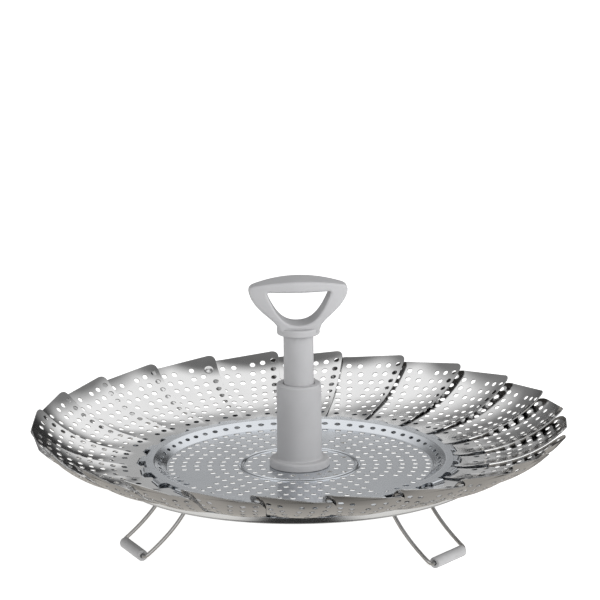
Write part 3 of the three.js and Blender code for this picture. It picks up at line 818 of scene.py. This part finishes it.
@dataclass
class Petals:
    """The overlapping leaves, with the base plate's hooks that carry them."""

    count: int = 24
    first: float = 1.8  # degrees from +Y clockwise to the first one
    hinge_radius: float = 81.5  # from the middle of the rack to the hinge lines
    hinge_height: float = 37.7496
    skew: float = 6.5  # degrees that a hinge line turns in at its clockwise end
    roll: float = 2  # degrees that a petal's clockwise edge is tipped up
    lift: float = 1  # degrees that a petal is swung up from its lowest place
    sheet: float = 0.5  # thickness of the metal
    rim: float = 0.12  # radius of its rims
    reach: float = 57.1  # from the hinge line to the tip, seen from above
    length: float = 62  # the same along the sheet
    tip_slope: float = 46  # degrees that the tip is bent up
    bend_skew: float = 3  # degrees that the line of the bend turns in at its clockwise end
    late: float = 1.47  # how late the bend comes, where 1 grows evenly from the hinge to the tip
    cup: float = 80  # radius that the petals are bent to across their width
    cup_start: float = 16  # from the hinge line to where that bend is whole
    root_clockwise: float = 10.8  # widths from the middle line to the edges, at the root and at the tip
    root_counter: float = 9.4
    tip_clockwise: float = 21.5
    tip_counter: float = 23.5
    corner: float = 5.5  # rounding of the tip's clockwise corner
    hidden_corner: float = 13  # rounding of its other corner, which lies under the next petal
    root_corner: float = 1.2
    root_bar: float = 1.4  # strip between the root edge and the slot
    slot_out: float = 2.157  # from the hinge line to the slot's far side
    slot_half: float = 4.8  # half its length
    slot_corner: float = 0.4
    hole: float = 1.45  # radius
    row: float = 6.06  # between the rows of holes
    tip_margin: float = 6.2  # from the tip to the first row
    clockwise_margin: float = 3.2  # from the clockwise edge to the first column
    clockwise_pitch: float = 5.7  # between the columns beside it
    counter_margin: float = 5  # from the other edge to its first column
    counter_pitch: float = 6.3  # between the columns beside that one
    margin_slack: float = 0.1
    clear: float = 5.2  # least distance between the middles of two holes in a row
    dimple: float = 2.6  # radius of the pressed dimple
    dimple_height: float = 1.1
    dimple_inset: float = 6.5  # from the tip and from the clockwise edge
    dimple_clear: float = 1  # least distance from its rim to a hole's
    dimpled: int = 23  # number of the petal that has it
    hook: Curl = Curl(width=9, root=4.5, sheet=0.5, inner=1.2004, turn=240, rim=0.12, corner=0.6, steps=4)

    CORNER_STEPS = 8
    SLOT_STEPS = 3
    HOLE_FACETS = 16
    DIMPLE_FACETS = 32
    DIMPLE_RINGS = (0.02, 0.2, 0.4, 0.6, 0.8, 1)
    ROWS = 9
    COLUMNS = 4
    SLICE = 4.0
    TRIES = 6

    @property
    def middle(self) -> float:
        """Place of the tip's middle along the hinge line."""
        return self.reach * math.sin(math.radians(self.skew))

    def build(self) -> None:
        """Builds the petals and the hooks and sets them on their bodies."""
        plain = self._leaf(False)
        marked = self._leaf(True)
        numbers = range(1, self.count + 1)
        for number in numbers:
            leaf = marked if number == self.dimpled else plain
            obj = leaf.piece(f"petal_leaf_{number:02d}", self._hinge(number) @ self._tilt())
            settled(obj, PETAL_STEEL, f"petal_{number:02d}_body", f"petal_{number:02d}")
        skew = Matrix.Rotation(-math.radians(self.skew), 4, "Z")
        hooks = self.hook.build()
        hooks.repeat([self._hinge(number) @ skew for number in numbers])
        settled(hooks.piece("petal_hooks"), BASE_STEEL, "base")

    def _hinge(self, number: int) -> Matrix:
        """Places a petal's hinge.

        Args:
            number: Number of the petal.

        Returns:
            The place, with x outwards from the middle of the rack.
        """
        angle = math.pi / 2 - math.radians(self.first + 360 / self.count * (number - 1))
        out = Matrix.Translation((self.hinge_radius, 0, self.hinge_height))
        return Matrix.Rotation(angle, 4, "Z") @ out

    def _tilt(self) -> Matrix:
        """Tips an open petal on its hinge.

        Returns:
            The turn, of the petal's roll, skew and lift.
        """
        turns = zip((self.roll, self.skew, self.lift), "XZY")
        roll, skew, lift = (Matrix.Rotation(-math.radians(turn), 4, axis) for turn, axis in turns)
        return roll @ skew @ lift

    def _flat(self, x: float, y: float) -> Vector:
        """Unrolls a point of the petal's plan.

        Args:
            x: Distance from the hinge along the middle line.
            y: Distance from the middle line, counter-clockwise.

        Returns:
            Its distance from the hinge line along the sheet, and its place along that line.
        """
        place = Vector((x, y))
        place.rotate(Matrix.Rotation(math.radians(self.bend_skew), 2))
        out = place.x
        for _ in range(self.TRIES):
            there, slope = self._section(place.x)
            place.x += (out - there.x) / math.cos(slope)
        place.rotate(Matrix.Rotation(math.radians(self.skew - self.bend_skew), 2))
        return place

    def _section(self, far: float) -> tuple[Vector, float]:
        """Follows the bent sheet's side view, as the first terms of the series for its bend.

        Args:
            far: Distance from the hinge line along the sheet.

        Returns:
            The distance out and the height there, and the slope.
        """
        share = max(far, 0) / self.length
        slope = math.radians(self.tip_slope) * share ** self.late
        out = share * (1 - slope ** 2 / 2 / (2 * self.late + 1) + slope ** 4 / 24 / (4 * self.late + 1))
        rise = share * (slope / (self.late + 1) - slope ** 3 / 6 / (3 * self.late + 1)
                        + slope ** 5 / 120 / (5 * self.late + 1))
        return Vector((min(far, 0) + self.length * out, self.length * rise)), slope

    def _corners(self) -> list[Vector]:
        """Places the flat petal's corners.

        Returns:
            Its clockwise root and tip, then its counter-clockwise tip and root.
        """
        skew = math.radians(self.skew)
        back = self.root_bar / 2 / math.cos(skew)
        return [
            self._flat(-self.root_clockwise * math.tan(skew) - back, -self.root_clockwise),
            self._flat(self.reach, -self.tip_clockwise),
            self._flat(self.reach, self.tip_counter),
            self._flat(self.root_counter * math.tan(skew) - back, self.root_counter),
        ]

    def _leaf(self, dimpled: bool) -> Sheet:
        """Builds one petal at its hinge line.

        Args:
            dimpled: Whether it has the pressed dimple.

        Returns:
            The petal's sheet.
        """
        sheet = Sheet(self.sheet, self.rim)
        corners = self._corners()
        sizes = [self.root_corner, self.corner, self.hidden_corner, self.root_corner]
        outer = shifted(rounded(list(zip(corners, sizes)), self.CORNER_STEPS), self.rim)
        edges = sheet.outline(outer) + sheet.outline(self._slot())
        mark = self._flat(self.reach - self.dimple_inset, self.dimple_inset - self.tip_clockwise)
        for centre in self._holes(corners):
            if not dimpled or (centre - mark).length > self.dimple + self.hole + self.dimple_clear:
                edges += sheet.hole(centre, self.hole, self.HOLE_FACETS)
        if dimpled:
            edges += sheet.round(mark, self.dimple, self.DIMPLE_FACETS)
        sheet.fill(edges)
        if dimpled:
            radii = [self.dimple * share for share in self.DIMPLE_RINGS]
            sheet.belts(mark, radii, self.DIMPLE_FACETS)
            sheet.fill(sheet.round(mark, radii[0], self.DIMPLE_FACETS))
        rows = range(1, int(corners[1].x / self.SLICE) + 1)
        sheet.slice(self.SLICE * i for i in rows)
        sheet.close()
        pressed = mark if dimpled else None
        sheet.bend(lambda flat: self._curve(flat, pressed))
        return sheet

    def _slot(self) -> list[Vector]:
        """Outlines the slot that a hook passes through.

        Returns:
            The outline's points.
        """
        near = self.root_bar / 2 - self.rim
        far = self.slot_out + self.rim
        half = self.slot_half + self.rim
        corners = [Vector((near, -half)), Vector((near, half)), Vector((far, half)), Vector((far, -half))]
        return rounded([(corner, self.slot_corner) for corner in corners], self.SLOT_STEPS)

    def _holes(self, corners: Sequence[Vector]) -> list[Vector]:
        """Places the holes in rows, in columns that follow the petal's two long edges.

        Args:
            corners: The flat petal's corners.

        Returns:
            The middles of the holes.
        """
        clockwise_root, clockwise_tip, counter_tip, counter_root = corners
        centres = []
        for row in range(self.ROWS):
            share = (row * self.row + self.tip_margin) / (clockwise_tip - clockwise_root).length
            low = clockwise_tip.lerp(clockwise_root, share)
            high = counter_tip.lerp(counter_root, share)
            width = (high - low).length
            start = self.clockwise_margin - self.margin_slack
            end = width - self.counter_margin + self.margin_slack
            taken: list[float] = []
            for column in range(self.COLUMNS):
                left = self.clockwise_margin + column * self.clockwise_pitch
                right = width - self.counter_margin - column * self.counter_pitch
                for place in (left, right):
                    if start < place < end and all(abs(place - other) >= self.clear for other in taken):
                        taken.append(place)
            centres += [low.lerp(high, place / width) for place in taken]
        return centres

    def _curve(self, flat: Vector, mark: Vector | None) -> Vector:
        """Bends a point of the flat petal up, and presses out the dimple.

        Args:
            flat: Point of the flat sheet.
            mark: Middle of the dimple, if there is one.

        Returns:
            Its place, with x outwards from the hinge line and y along it.
        """
        share = max(flat.x, 0) / self.length
        start = min(max(flat.x, 0) / self.cup_start, 1)
        cup = start ** 2 * (3 - 2 * start) / self.cup
        lift = flat.z + cup * (flat.y - share * self.middle) ** 2 / 2
        if mark is not None:
            apart = (flat.xy - mark).length / self.dimple
            lift += self.dimple_height * (1 + math.cos(math.pi * min(apart, 1))) / 2
        turn = Matrix.Rotation(math.radians(self.bend_skew - self.skew), 3, "Z")
        far = turn @ flat
        there, slope = self._section(far.x)
        bent = Vector((there.x - lift * math.sin(slope), far.y, there.y + lift * math.cos(slope)))
        return turn.transposed() @ bent


@dataclass
class Legs:
    """The wire loops with their foot sleeves and the straps that hold them."""

    pivot_radius: float = 66  # from the middle of the rack to a leg's pivot
    pivot_height: float = 33.2
    spread: float = 26.7  # from the pivot out to the foot
    foot_height: float = 2.9  # of the foot bar's middle
    width: float = 31  # between the middles of a leg's two sides
    wire: float = 1  # radius
    top_slope: float = 70  # degrees below level at the pivot
    foot_slope: float = 35  # degrees below level at the foot
    corner: float = 2.6  # rounding of the wire's corners
    end_gap: float = 1  # between the wire's two ends
    sleeve: float = 2.9  # radius
    sleeve_length: float = 25
    sleeve_edge: float = 0.6  # rounding
    bore: float = 1.25  # radius
    bore_edge: float = 0.25  # rounding
    strap: Curl = Curl(width=16, root=14, sheet=0.8, inner=1.3, turn=240, rim=0.15, corner=1.5, steps=6)

    WIRE_FACETS = 24
    SIDE_STEPS = 20
    CORNER_STEPS = 8

    def build(self) -> None:
        """Builds the three legs and sets them on their bodies."""
        strap = self.strap.build()
        pivot = Matrix.Translation((self.pivot_radius, 0, self.pivot_height))
        foot = Matrix.Translation((self.pivot_radius + self.spread, 0, self.foot_height))
        lying = Matrix.Rotation(math.pi / 2, 4, "X")
        for side in Side:
            name = side.name.lower()
            body = f"leg_{name}"
            turn = Matrix.Rotation(math.radians(side.value), 4, "Z")
            settled(self._wire(f"wire_loop_{name}", turn), WIRE_STEEL, body, f"leg_wire_{name}")
            sleeve = turned(f"sleeve_{name}", self._sleeve(), turn @ foot @ lying)
            settled(sleeve, SILICONE, body, f"foot_sleeve_{name}")
            settled(strap.piece(f"strap_{name}", turn @ pivot), BASE_STEEL, "base", f"leg_strap_{name}")

    def _path(self) -> list[Vector]:
        """Follows the middle of a leg's wire.

        Returns:
            The points from one end of the wire round to the other.
        """
        pivot = Vector((self.pivot_radius, self.pivot_height))
        foot = Vector((self.pivot_radius + self.spread, self.foot_height))
        down = math.radians(self.top_slope)
        back = math.radians(self.foot_slope)
        fall = Vector((math.cos(down), -math.sin(down)))
        climb = Vector((-math.cos(back), math.sin(back)))
        length = (foot - pivot).cross(climb) / fall.cross(climb)
        curve = bezier([pivot, pivot + fall * length, foot], self.SIDE_STEPS)
        side = [Vector((point.x, self.width / 2, point.y)) for point in curve]
        top, low = side[0], side[-1]
        inner = [(point, 0) for point in side
                 if min((point - top).length, (point - low).length) > self.corner]
        end = Vector((top.x, self.end_gap / 2, top.z))
        half = [(end, 0), (top, self.corner), *inner, (low, self.corner)]
        other = [(Vector((point.x, -point.y, point.z)), size) for point, size in reversed(half)]
        return rounded(half + other, self.CORNER_STEPS, closed=False)

    def _wire(self, name: str, turn: Matrix) -> bpy.types.Object:
        """Carries a circle along the wire's path.

        Args:
            name: Name of the piece.
            turn: Where the leg goes.

        Returns:
            The wire.
        """
        path = self._path()
        pairs = zip(path[:1] + path, path[1:] + path[-1:])
        ways = [(after - before).normalized() for before, after in pairs]
        start = Matrix.Translation(path[0]) @ ways[0].to_track_quat("Z", "Y").to_matrix().to_4x4()
        mesh = bmesh.new()
        edges = circle(mesh, self.wire, self.WIRE_FACETS, start)
        bmesh.ops.edgeloop_fill(mesh, edges=edges)
        for i in range(1, len(path)):
            verts, edges = extruded(mesh, edges)
            swing = ways[i - 1].rotation_difference(ways[i]).to_matrix()
            bmesh.ops.rotate(mesh, cent=path[i - 1], matrix=swing, verts=verts)
            bmesh.ops.translate(mesh, vec=path[i] - path[i - 1], verts=verts)
        bmesh.ops.edgeloop_fill(mesh, edges=edges)
        bmesh.ops.recalc_face_normals(mesh, faces=mesh.faces)
        bmesh.ops.transform(mesh, matrix=turn, verts=mesh.verts)
        return stored(mesh, name, even=True)

    def _sleeve(self) -> Outline:
        """Outlines a foot sleeve.

        Returns:
            Radius, height and rounding of its corners.
        """
        half = self.sleeve_length / 2
        return [
            (self.bore, -half, self.bore_edge),
            (self.sleeve, -half, self.sleeve_edge),
            (self.sleeve, half, self.sleeve_edge),
            (self.bore, half, self.bore_edge),
        ]


@dataclass
class Handle:
    """The socket, the sliding stem, the grip and what fixes them to the base plate.

    Heights are above the socket's foot, the grip's above its own foot, and those of what lies under the
    base plate above the table. Edges are the roundings of corners.
    """

    foot: float = 36.1  # socket's foot above the table
    gap: float = 0.1  # between pieces that rest on each other
    fine_edge: float = 0.2
    small_edge: float = 0.3
    socket: float = 11.5  # radius
    socket_height: float = 43.8
    socket_edge: float = 1.2
    bore: float = 9.7  # radius
    mouth: float = 8.0  # radius of the opening in the lip
    mouth_edge: float = 0.5
    lip: float = 3  # its own height
    flange: float = 15.5  # radius of the foot flange
    flange_height: float = 4
    flange_edge: float = 1.3
    flange_fillet: float = 1.0
    stem: float = 7.7  # radius
    stem_bore: float = 5.2  # radius
    stem_low: float = 34.5
    stop: float = 9.4  # radius of the stop collar
    stop_top: float = 40.5
    stop_edge: float = 0.4
    groove: float = 8.0  # radius of the groove for the friction ring
    groove_low: float = 36.4
    groove_high: float = 38.6
    grip_base: float = 70
    grip_width: float = 51.5
    grip_height: float = 29
    grip_crown: float = 3.7  # rise of the top in its middle
    grip_depth: float = 18  # in its middle
    grip_foot: float = 15  # depth at its foot
    grip_end: float = 6  # depth at its two ends
    grip_arm: float = 9  # from the hole's top corners out to the grip's ends
    grip_bar: float = 6  # height of the top bar over the hole
    grip_floor: float = 5.7  # height of the hole's lowest point
    grip_edge: float = 1.6
    grip_shoulder: float = 3.0  # rounding of the top's two ends
    grip_corner: float = 2.0  # rounding of the hole's top corners
    grip_neck: float = 8.5  # half its width at its lower end, inside the collar
    grip_sink: float = 0.4  # height of that end
    grip_turn: float = 5  # degrees
    collar: float = 11  # radius of the grip's collar
    collar_height: float = 3.8
    collar_low_edge: float = 0.7
    collar_top_edge: float = 0.9
    spigot: float = 5.1  # radius of the grip's spigot in the stem
    spigot_length: float = 12
    spigot_edge: float = 0.6
    washer: float = 12  # radius
    washer_top: float = 35.3
    washer_height: float = 1.2  # its own height
    washer_hole: float = 2.3  # radius
    screw: float = 2  # radius
    screw_end: float = 42.1
    screw_edge: float = 0.4
    head: float = 4.25  # radius of the screw's head
    head_flat: float = 2.5  # radius of the flat on it
    head_height: float = 2.4  # its own height
    head_edge: float = 0.5

    CURVE_STEPS = 24
    CORNER_STEPS = 6
    EDGE_STEPS = 5
    SLICE = 1.6
    SIDE_PULLS = (0.2, 0.55)  # where the side's curve is pulled to, as shares of the shoulder's height
    HOLE_PULLS = (0.45, 0.7)  # the same for the hole's curve, as shares of its half width
    HOLE_CHEEK = 0.28  # height of the second one, as a share of the hole's height
    # Points left out at the ends of the curves, where a corner is rounded
    SIDE_TRIM = 3
    CROWN_TRIM = 4
    HOLE_TRIM = 2

    def build(self) -> None:
        """Builds the handle's pieces and sets them on their bodies."""
        there = Matrix.Translation((0, 0, self.foot))
        high = there @ Matrix.Translation((0, 0, self.grip_base))
        settled(turned("socket_tube", self._socket(), there), PLASTIC, "base", "handle_socket")
        settled(turned("stem_tube", self._stem(), there), PLASTIC, "pull", "handle_stem")
        settled(self._grip(high), PLASTIC, "pull", "handle_grip")
        settled(turned("grip_collar", self._collar(), high, on_axis=True), PLASTIC, "pull")
        settled(turned("washer_disc", self._washer()), BASE_STEEL, "base", "fixing_washer")
        settled(turned("screw_pan", self._screw(), on_axis=True), SCREW_STEEL, "base", "fixing_screw")
        for node, finish in {"socket_plug": PLASTIC, "friction_ring": RUBBER}.items():
            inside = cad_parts[node]
            inside.data.materials.clear()
            inside.data.materials.append(finish.material())

    def _socket(self) -> Outline:
        """Outlines the socket.

        Returns:
            Radius, height and rounding of its corners.
        """
        top = self.socket_height
        return [
            (self.bore, 0, self.small_edge),
            (self.flange, 0, self.small_edge),
            (self.flange, self.flange_height, self.flange_edge),
            (self.socket, self.flange_height, self.flange_fillet),
            (self.socket, top, self.socket_edge),
            (self.mouth, top, self.mouth_edge),
            (self.mouth, top - self.lip, self.small_edge),
            (self.bore, top - self.lip, self.small_edge),
        ]

    def _stem(self) -> Outline:
        """Outlines the sliding stem.

        Returns:
            Radius, height and rounding of its corners.
        """
        end = self.grip_base - self.gap
        return [
            (self.stem_bore, self.stem_low, self.small_edge),
            (self.stop, self.stem_low, self.stop_edge),
            (self.stop, self.groove_low, self.fine_edge),
            (self.groove, self.groove_low, self.fine_edge),
            (self.groove, self.groove_high, self.fine_edge),
            (self.stop, self.groove_high, self.fine_edge),
            (self.stop, self.stop_top, self.stop_edge),
            (self.stem, self.stop_top, self.small_edge),
            (self.stem, end, self.small_edge),
            (self.stem_bore, end, self.small_edge),
        ]

    def _collar(self) -> Outline:
        """Outlines the grip's round collar and spigot, from the axis to the axis.

        Returns:
            Radius, height and rounding of their corners.
        """
        return [
            (0, -self.spigot_length, 0),
            (self.spigot, -self.spigot_length, self.spigot_edge),
            (self.spigot, 0, self.fine_edge),
            (self.collar, 0, self.collar_low_edge),
            (self.collar, self.collar_height, self.collar_top_edge),
            (0, self.collar_height, 0),
        ]

    def _washer(self) -> Outline:
        """Outlines the washer under the base plate.

        Returns:
            Radius, height and rounding of its corners.
        """
        low = self.washer_top - self.washer_height
        return [
            (self.washer_hole, low, self.fine_edge),
            (self.washer, low, self.small_edge),
            (self.washer, self.washer_top, self.small_edge),
            (self.washer_hole, self.washer_top, self.fine_edge),
        ]

    def _screw(self) -> Outline:
        """Outlines the fixing screw with its domed head, from the axis to the axis.

        Returns:
            Radius, height and rounding of its corners.
        """
        seat = self.washer_top - self.washer_height - self.gap
        low = seat - self.head_height
        return [
            (0, low, 0),
            (self.head_flat, low, self.head_edge),
            (self.head, low + self.head_height / 2, self.head_edge),
            (self.head, seat, self.small_edge),
            (self.screw, seat, self.fine_edge),
            (self.screw, self.screw_end, self.screw_edge),
            (0, self.screw_end, 0),
        ]

    def _grip(self, high: Matrix) -> bpy.types.Object:
        """Builds the grip.

        Args:
            high: Where the grip's foot is.

        Returns:
            The grip.
        """
        sheet = Sheet(self.grip_depth, self.grip_edge, self.EDGE_STEPS)
        outer = shifted(self._grip_outline(), self.grip_edge)
        hole = shifted(self._grip_hole(), self.grip_edge)
        sheet.fill(sheet.outline(outer) + sheet.outline(hole))
        half = int(self.grip_width / 2 / self.SLICE)
        sheet.slice(self.SLICE * i for i in range(-half, half + 1))
        sheet.close()
        sheet.bend(self._grip_place)
        return sheet.piece("grip_pull", high @ Matrix.Rotation(math.radians(self.grip_turn), 4, "Z"))

    @staticmethod
    def _sharp(points: Iterable[Vector]) -> list[tuple[Vector, float]]:
        """Takes points as corners that are not rounded."""
        return [(point, 0.0) for point in points]

    @staticmethod
    def _mirrored(points: Sequence[Vector]) -> list[Vector]:
        """Runs back along a line's mirror image on the grip's other half."""
        return [Vector((-point.x, point.y)) for point in reversed(points)]

    def _grip_outline(self) -> list[Vector]:
        """Outlines the grip from the front.

        Returns:
            The outline's points, counter-clockwise.
        """
        half = self.grip_width / 2
        shoulder = self.grip_height - self.grip_crown
        low_pull, high_pull = self.SIDE_PULLS
        end = Vector((half, shoulder))
        side = bezier([
            Vector((self.collar, self.collar_height)),
            Vector((self.collar, self.collar_height + low_pull * shoulder)),
            Vector((half, high_pull * shoulder)),
            end,
        ], self.CURVE_STEPS)
        peak = Vector((0, self.grip_height + self.grip_crown))
        crown = bezier([end, peak, Vector((-half, shoulder))], 2 * self.CURVE_STEPS)
        right = [Vector((self.grip_neck, self.grip_sink)), *side[:-self.SIDE_TRIM]]
        line = self._sharp(right)
        line.append((side[-1], self.grip_shoulder))
        line += self._sharp(crown[self.CROWN_TRIM:-self.CROWN_TRIM])
        line.append((crown[-1], self.grip_shoulder))
        line += self._sharp(self._mirrored(right))
        return rounded(line, self.CORNER_STEPS)

    def _grip_hole(self) -> list[Vector]:
        """Outlines the grip's hole from the front.

        Returns:
            The outline's points, clockwise.
        """
        corner = self.grip_width / 2 - self.grip_arm
        ceiling = self.grip_height - self.grip_bar
        floor_pull, cheek_pull = self.HOLE_PULLS
        side = bezier([
            Vector((0, self.grip_floor)),
            Vector((-floor_pull * corner, self.grip_floor)),
            Vector((-cheek_pull * corner, self.grip_floor + self.HOLE_CHEEK * (ceiling - self.grip_floor))),
            Vector((-corner, ceiling)),
        ], self.CURVE_STEPS)
        other = self._mirrored(side)
        line = self._sharp(side[:-self.HOLE_TRIM])
        line += [(side[-1], self.grip_corner), (other[0], self.grip_corner)]
        line += self._sharp(other[self.HOLE_TRIM:-1])
        return rounded(line, self.CORNER_STEPS)

    def _grip_place(self, flat: Vector) -> Vector:
        """Gives a point of the flat grip its lens-shaped plan and its taper.

        Args:
            flat: Point of the flat grip, with x across it and y up it.

        Returns:
            Its place, with the front towards -Y.
        """
        across = min(abs(flat.x) / (self.grip_width / 2), 1)
        lens = self.grip_end + (self.grip_depth - self.grip_end) * (1 - across ** 2)
        share = flat.y / self.grip_height
        taper = self.grip_foot + (self.grip_depth - self.grip_foot) * share
        thinner = lens / self.grip_depth * taper / self.grip_depth
        return Vector((flat.x, -flat.z * thinner, flat.y))


@dataclass
class Studio:
    """The floor, the light and the camera.

    Reflections show cards on the floor and in the sky, and other light comes from a plain floor and sky.
    The cards' greys are given as stops of place and level. Places on the floor are in metres, and in the
    sky they are parts of a direction of length 1.
    """

    distance: float = 2000  # from the middle of the plate's field to the camera
    elevation: float = 16.4  # degrees that the camera stands above the field
    aim: tuple[float, float, float] = (1.0, 0, 87.6)  # point that is looked at, from the field's middle
    roll: float = -0.55  # degrees that the camera is turned about its line of sight
    focal: float = 3866  # focal length in pixels of an image as wide as the next value
    image_width: float = 600
    sensor: float = 36
    clip: Span = (0.1, 50)  # metres
    field_height: float = 36
    floor_half: float = 8000  # half the floor's width
    light_size: float = 1.2  # metres
    light_aim: tuple[float, float, float] = (0, 0, 0.06)  # metres

    # Name, place in metres and power in watts of the main light and of the weak one opposite
    LIGHTS = (("key_light", (1.4, -0.9, 0.7), 23), ("fill_light", (-1.3, -0.8, 0.6), 6))
    FLOOR_PAINT = {
        "Base Color": (0.85, 0.85, 0.85, 1),
        "Roughness": 0.9,
        "Specular IOR Level": 0.1,
        "Emission Color": WHITE,
        "Emission Strength": 0.75,
    }
    # The floor, outwards from under the rack, then the dark card in front and the part behind
    UNDER = ((0.0, 0.5), (0.16, 0.5), (0.19, 0.95), (0.4, 0.95), (0.5, 0.15))
    CARD = ((0.0, 0.03), (0.055, 0.03), (0.1, 1.0))
    CARD_START = (-0.1, -0.14)
    FLOOR_BACK = (0.02, 0.12)
    FLOOR_BACK_SIDES = (-0.1, 0.05)
    FLOOR_BACK_GREYS = (0.35, 0.05)
    FLOOR_TINT = (1, 0.95, 0.88, 1)
    # The sky, upwards at the right and left behind the rack and in front, then a panel behind and the sides
    RIGHT = ((0.0, 0.02), (0.33, 0.04), (0.4, 0.22), (0.48, 0.7), (0.56, 1.0))
    LEFT = ((0.0, 0.08), (0.12, 0.1), (0.25, 0.16), (0.42, 0.22), (0.6, 0.7), (0.75, 1.0))
    LEFT_START = (0.03, -0.1)
    FRONT = ((0.0, 0.9), (0.6, 0.9), (0.85, 0.2), (1.0, 0.15))
    FRONT_END = (-0.15, 0.05)
    PANEL_SIDE = (0.035, 0.075)
    PANEL_TOP = (0.4, 0.6)
    PANEL_GREY = (*grey(0.46), 1)
    SIDE_START = (0.48, 0.66)
    SIDE_GREY = (*grey(0.22), 1)
    SOFT_LIGHT = 0.46  # strength of the plain white sky where neither a mirror nor the camera sees it

    def build(self) -> None:
        """Sets up the floor, the light and the camera."""
        self._floor()
        self._world()
        for name, place, power in self.LIGHTS:
            self._softbox(name, Vector(place), power)
        self._camera()
        bpy.context.scene.view_settings.view_transform = "Standard"

    def _floor(self) -> None:
        """Lays a pale floor with the cards that the steel mirrors."""
        mesh = bmesh.new()
        bmesh.ops.create_grid(mesh, x_segments=2, y_segments=2, size=self.floor_half)
        floor = stored(mesh, "studio_floor")
        material = bpy.data.materials.new("studio_floor_paint")
        graph = Graph(material)
        paint = graph.nodes["Principled BSDF"]
        graph.feed(paint, self.FLOOR_PAINT)
        glow = graph.add("Emission", {"Color": self._floor_cards(graph)})
        graph.split(paint.outputs["BSDF"], glow, "Material Output")
        floor.data.materials.append(material)

    def _floor_cards(self, graph: Graph) -> Socket:
        """Draws the floor's cards: dim under the rack and behind it, dark in front.

        Args:
            graph: Nodes of the floor's material.

        Returns:
            The colour of the floor in a mirror.
        """
        place = graph.coords("Object")
        x, y, _ = graph.parts(place)
        away = graph.add("VectorMath", {0: place}, "Value", operation="LENGTH")
        under = graph.ramp(away, self.UNDER)
        card = graph.ramp(graph.math("ABSOLUTE", x), self.CARD)
        front = graph.mix(graph.span(y, self.CARD_START), under, card, "MULTIPLY")
        back = graph.span(x, self.FLOOR_BACK_SIDES, self.FLOOR_BACK_GREYS)
        whole = graph.mix(graph.span(y, self.FLOOR_BACK), front, back)
        return graph.mix(1, whole, self.FLOOR_TINT, "MULTIPLY")

    def _world(self) -> None:
        """Surrounds the rack with plain white light and with the cards that the steel mirrors."""
        world = bpy.data.worlds.new("studio_world")
        bpy.context.scene.world = world
        graph = Graph(world)
        sky = graph.nodes["Background"]
        graph.feed(sky, {"Color": self._sky_cards(graph)})
        strength = graph.span(graph.ray("Is Camera Ray"), (0, 1), (self.SOFT_LIGHT, 1))
        plain = graph.add("Background", {"Color": WHITE, "Strength": strength})
        graph.split(plain, sky.outputs["Background"], "World Output")

    def _sky_cards(self, graph: Graph) -> Socket:
        """Draws the sky's cards: dark low down behind the rack and above the camera.

        Args:
            graph: Nodes of the world.

        Returns:
            The colour of the sky in a mirror.
        """
        x, y, z = graph.parts(graph.coords("Generated"))
        aside = graph.math("ABSOLUTE", x)
        right = graph.ramp(z, self.RIGHT)
        left = graph.ramp(z, self.LEFT)
        back = graph.mix(graph.span(x, self.LEFT_START), right, left)
        within = graph.span(aside, self.PANEL_SIDE, (1, 0))
        below = graph.span(z, self.PANEL_TOP, (1, 0))
        panelled = graph.mix(graph.math("MULTIPLY", within, below), back, self.PANEL_GREY)
        whole = graph.mix(graph.span(y, self.FRONT_END), graph.ramp(z, self.FRONT), panelled)
        return graph.mix(graph.span(aside, self.SIDE_START), whole, self.SIDE_GREY)

    def _softbox(self, name: str, place: Vector, power: float) -> None:
        """Hangs a square soft light that faces the rack.

        Args:
            name: Name of the light.
            place: Where it hangs, in metres.
            power: Its power, in watts.
        """
        light = bpy.data.lights.new(name, "AREA")
        light.size = self.light_size
        light.energy = power
        obj = bpy.data.objects.new(name, light)
        obj.location = place
        obj.rotation_euler = (Vector(self.light_aim) - place).to_track_quat("-Z", "Y").to_euler()
        obj.visible_glossy = False
        bpy.context.scene.collection.objects.link(obj)

    def _camera(self) -> None:
        """Sets up the camera at the photograph's angle."""
        up = math.radians(self.elevation)
        base = Vector((0, 0, self.field_height))
        stand = base + self.distance * Vector((0, -math.cos(up), math.sin(up)))
        sight = (base + Vector(self.aim) - stand).normalized()
        level = sight.cross(Vector((0, 0, 1))).normalized()
        upright = level.cross(sight)
        roll = math.radians(self.roll)
        right = level * math.cos(roll) + upright * math.sin(roll)
        top = upright * math.cos(roll) - level * math.sin(roll)
        turn = Matrix((right, top, -sight)).transposed()
        camera = bpy.data.cameras.new("studio_camera")
        camera.sensor_fit = "HORIZONTAL"
        camera.sensor_width = self.sensor
        camera.lens = self.focal / self.image_width * self.sensor
        camera.clip_start, camera.clip_end = self.clip
        obj = bpy.data.objects.new("studio_camera", camera)
        obj.matrix_world = Matrix.Translation(stand * MM) @ turn.to_4x4()
        bpy.context.scene.collection.objects.link(obj)
        bpy.context.scene.camera = obj


def main() -> None:
    """Builds the rack's sub-assemblies in order, then the studio."""
    logging.basicConfig(level=logging.INFO, format="%(name)s: %(message)s")
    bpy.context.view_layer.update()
    for assembly in (BasePlate(), Petals(), Legs(), Handle()):
        log.info("building %s", type(assembly).__name__)
        assembly.build()
    Studio().build()


if __name__ == "__main__":
    main()
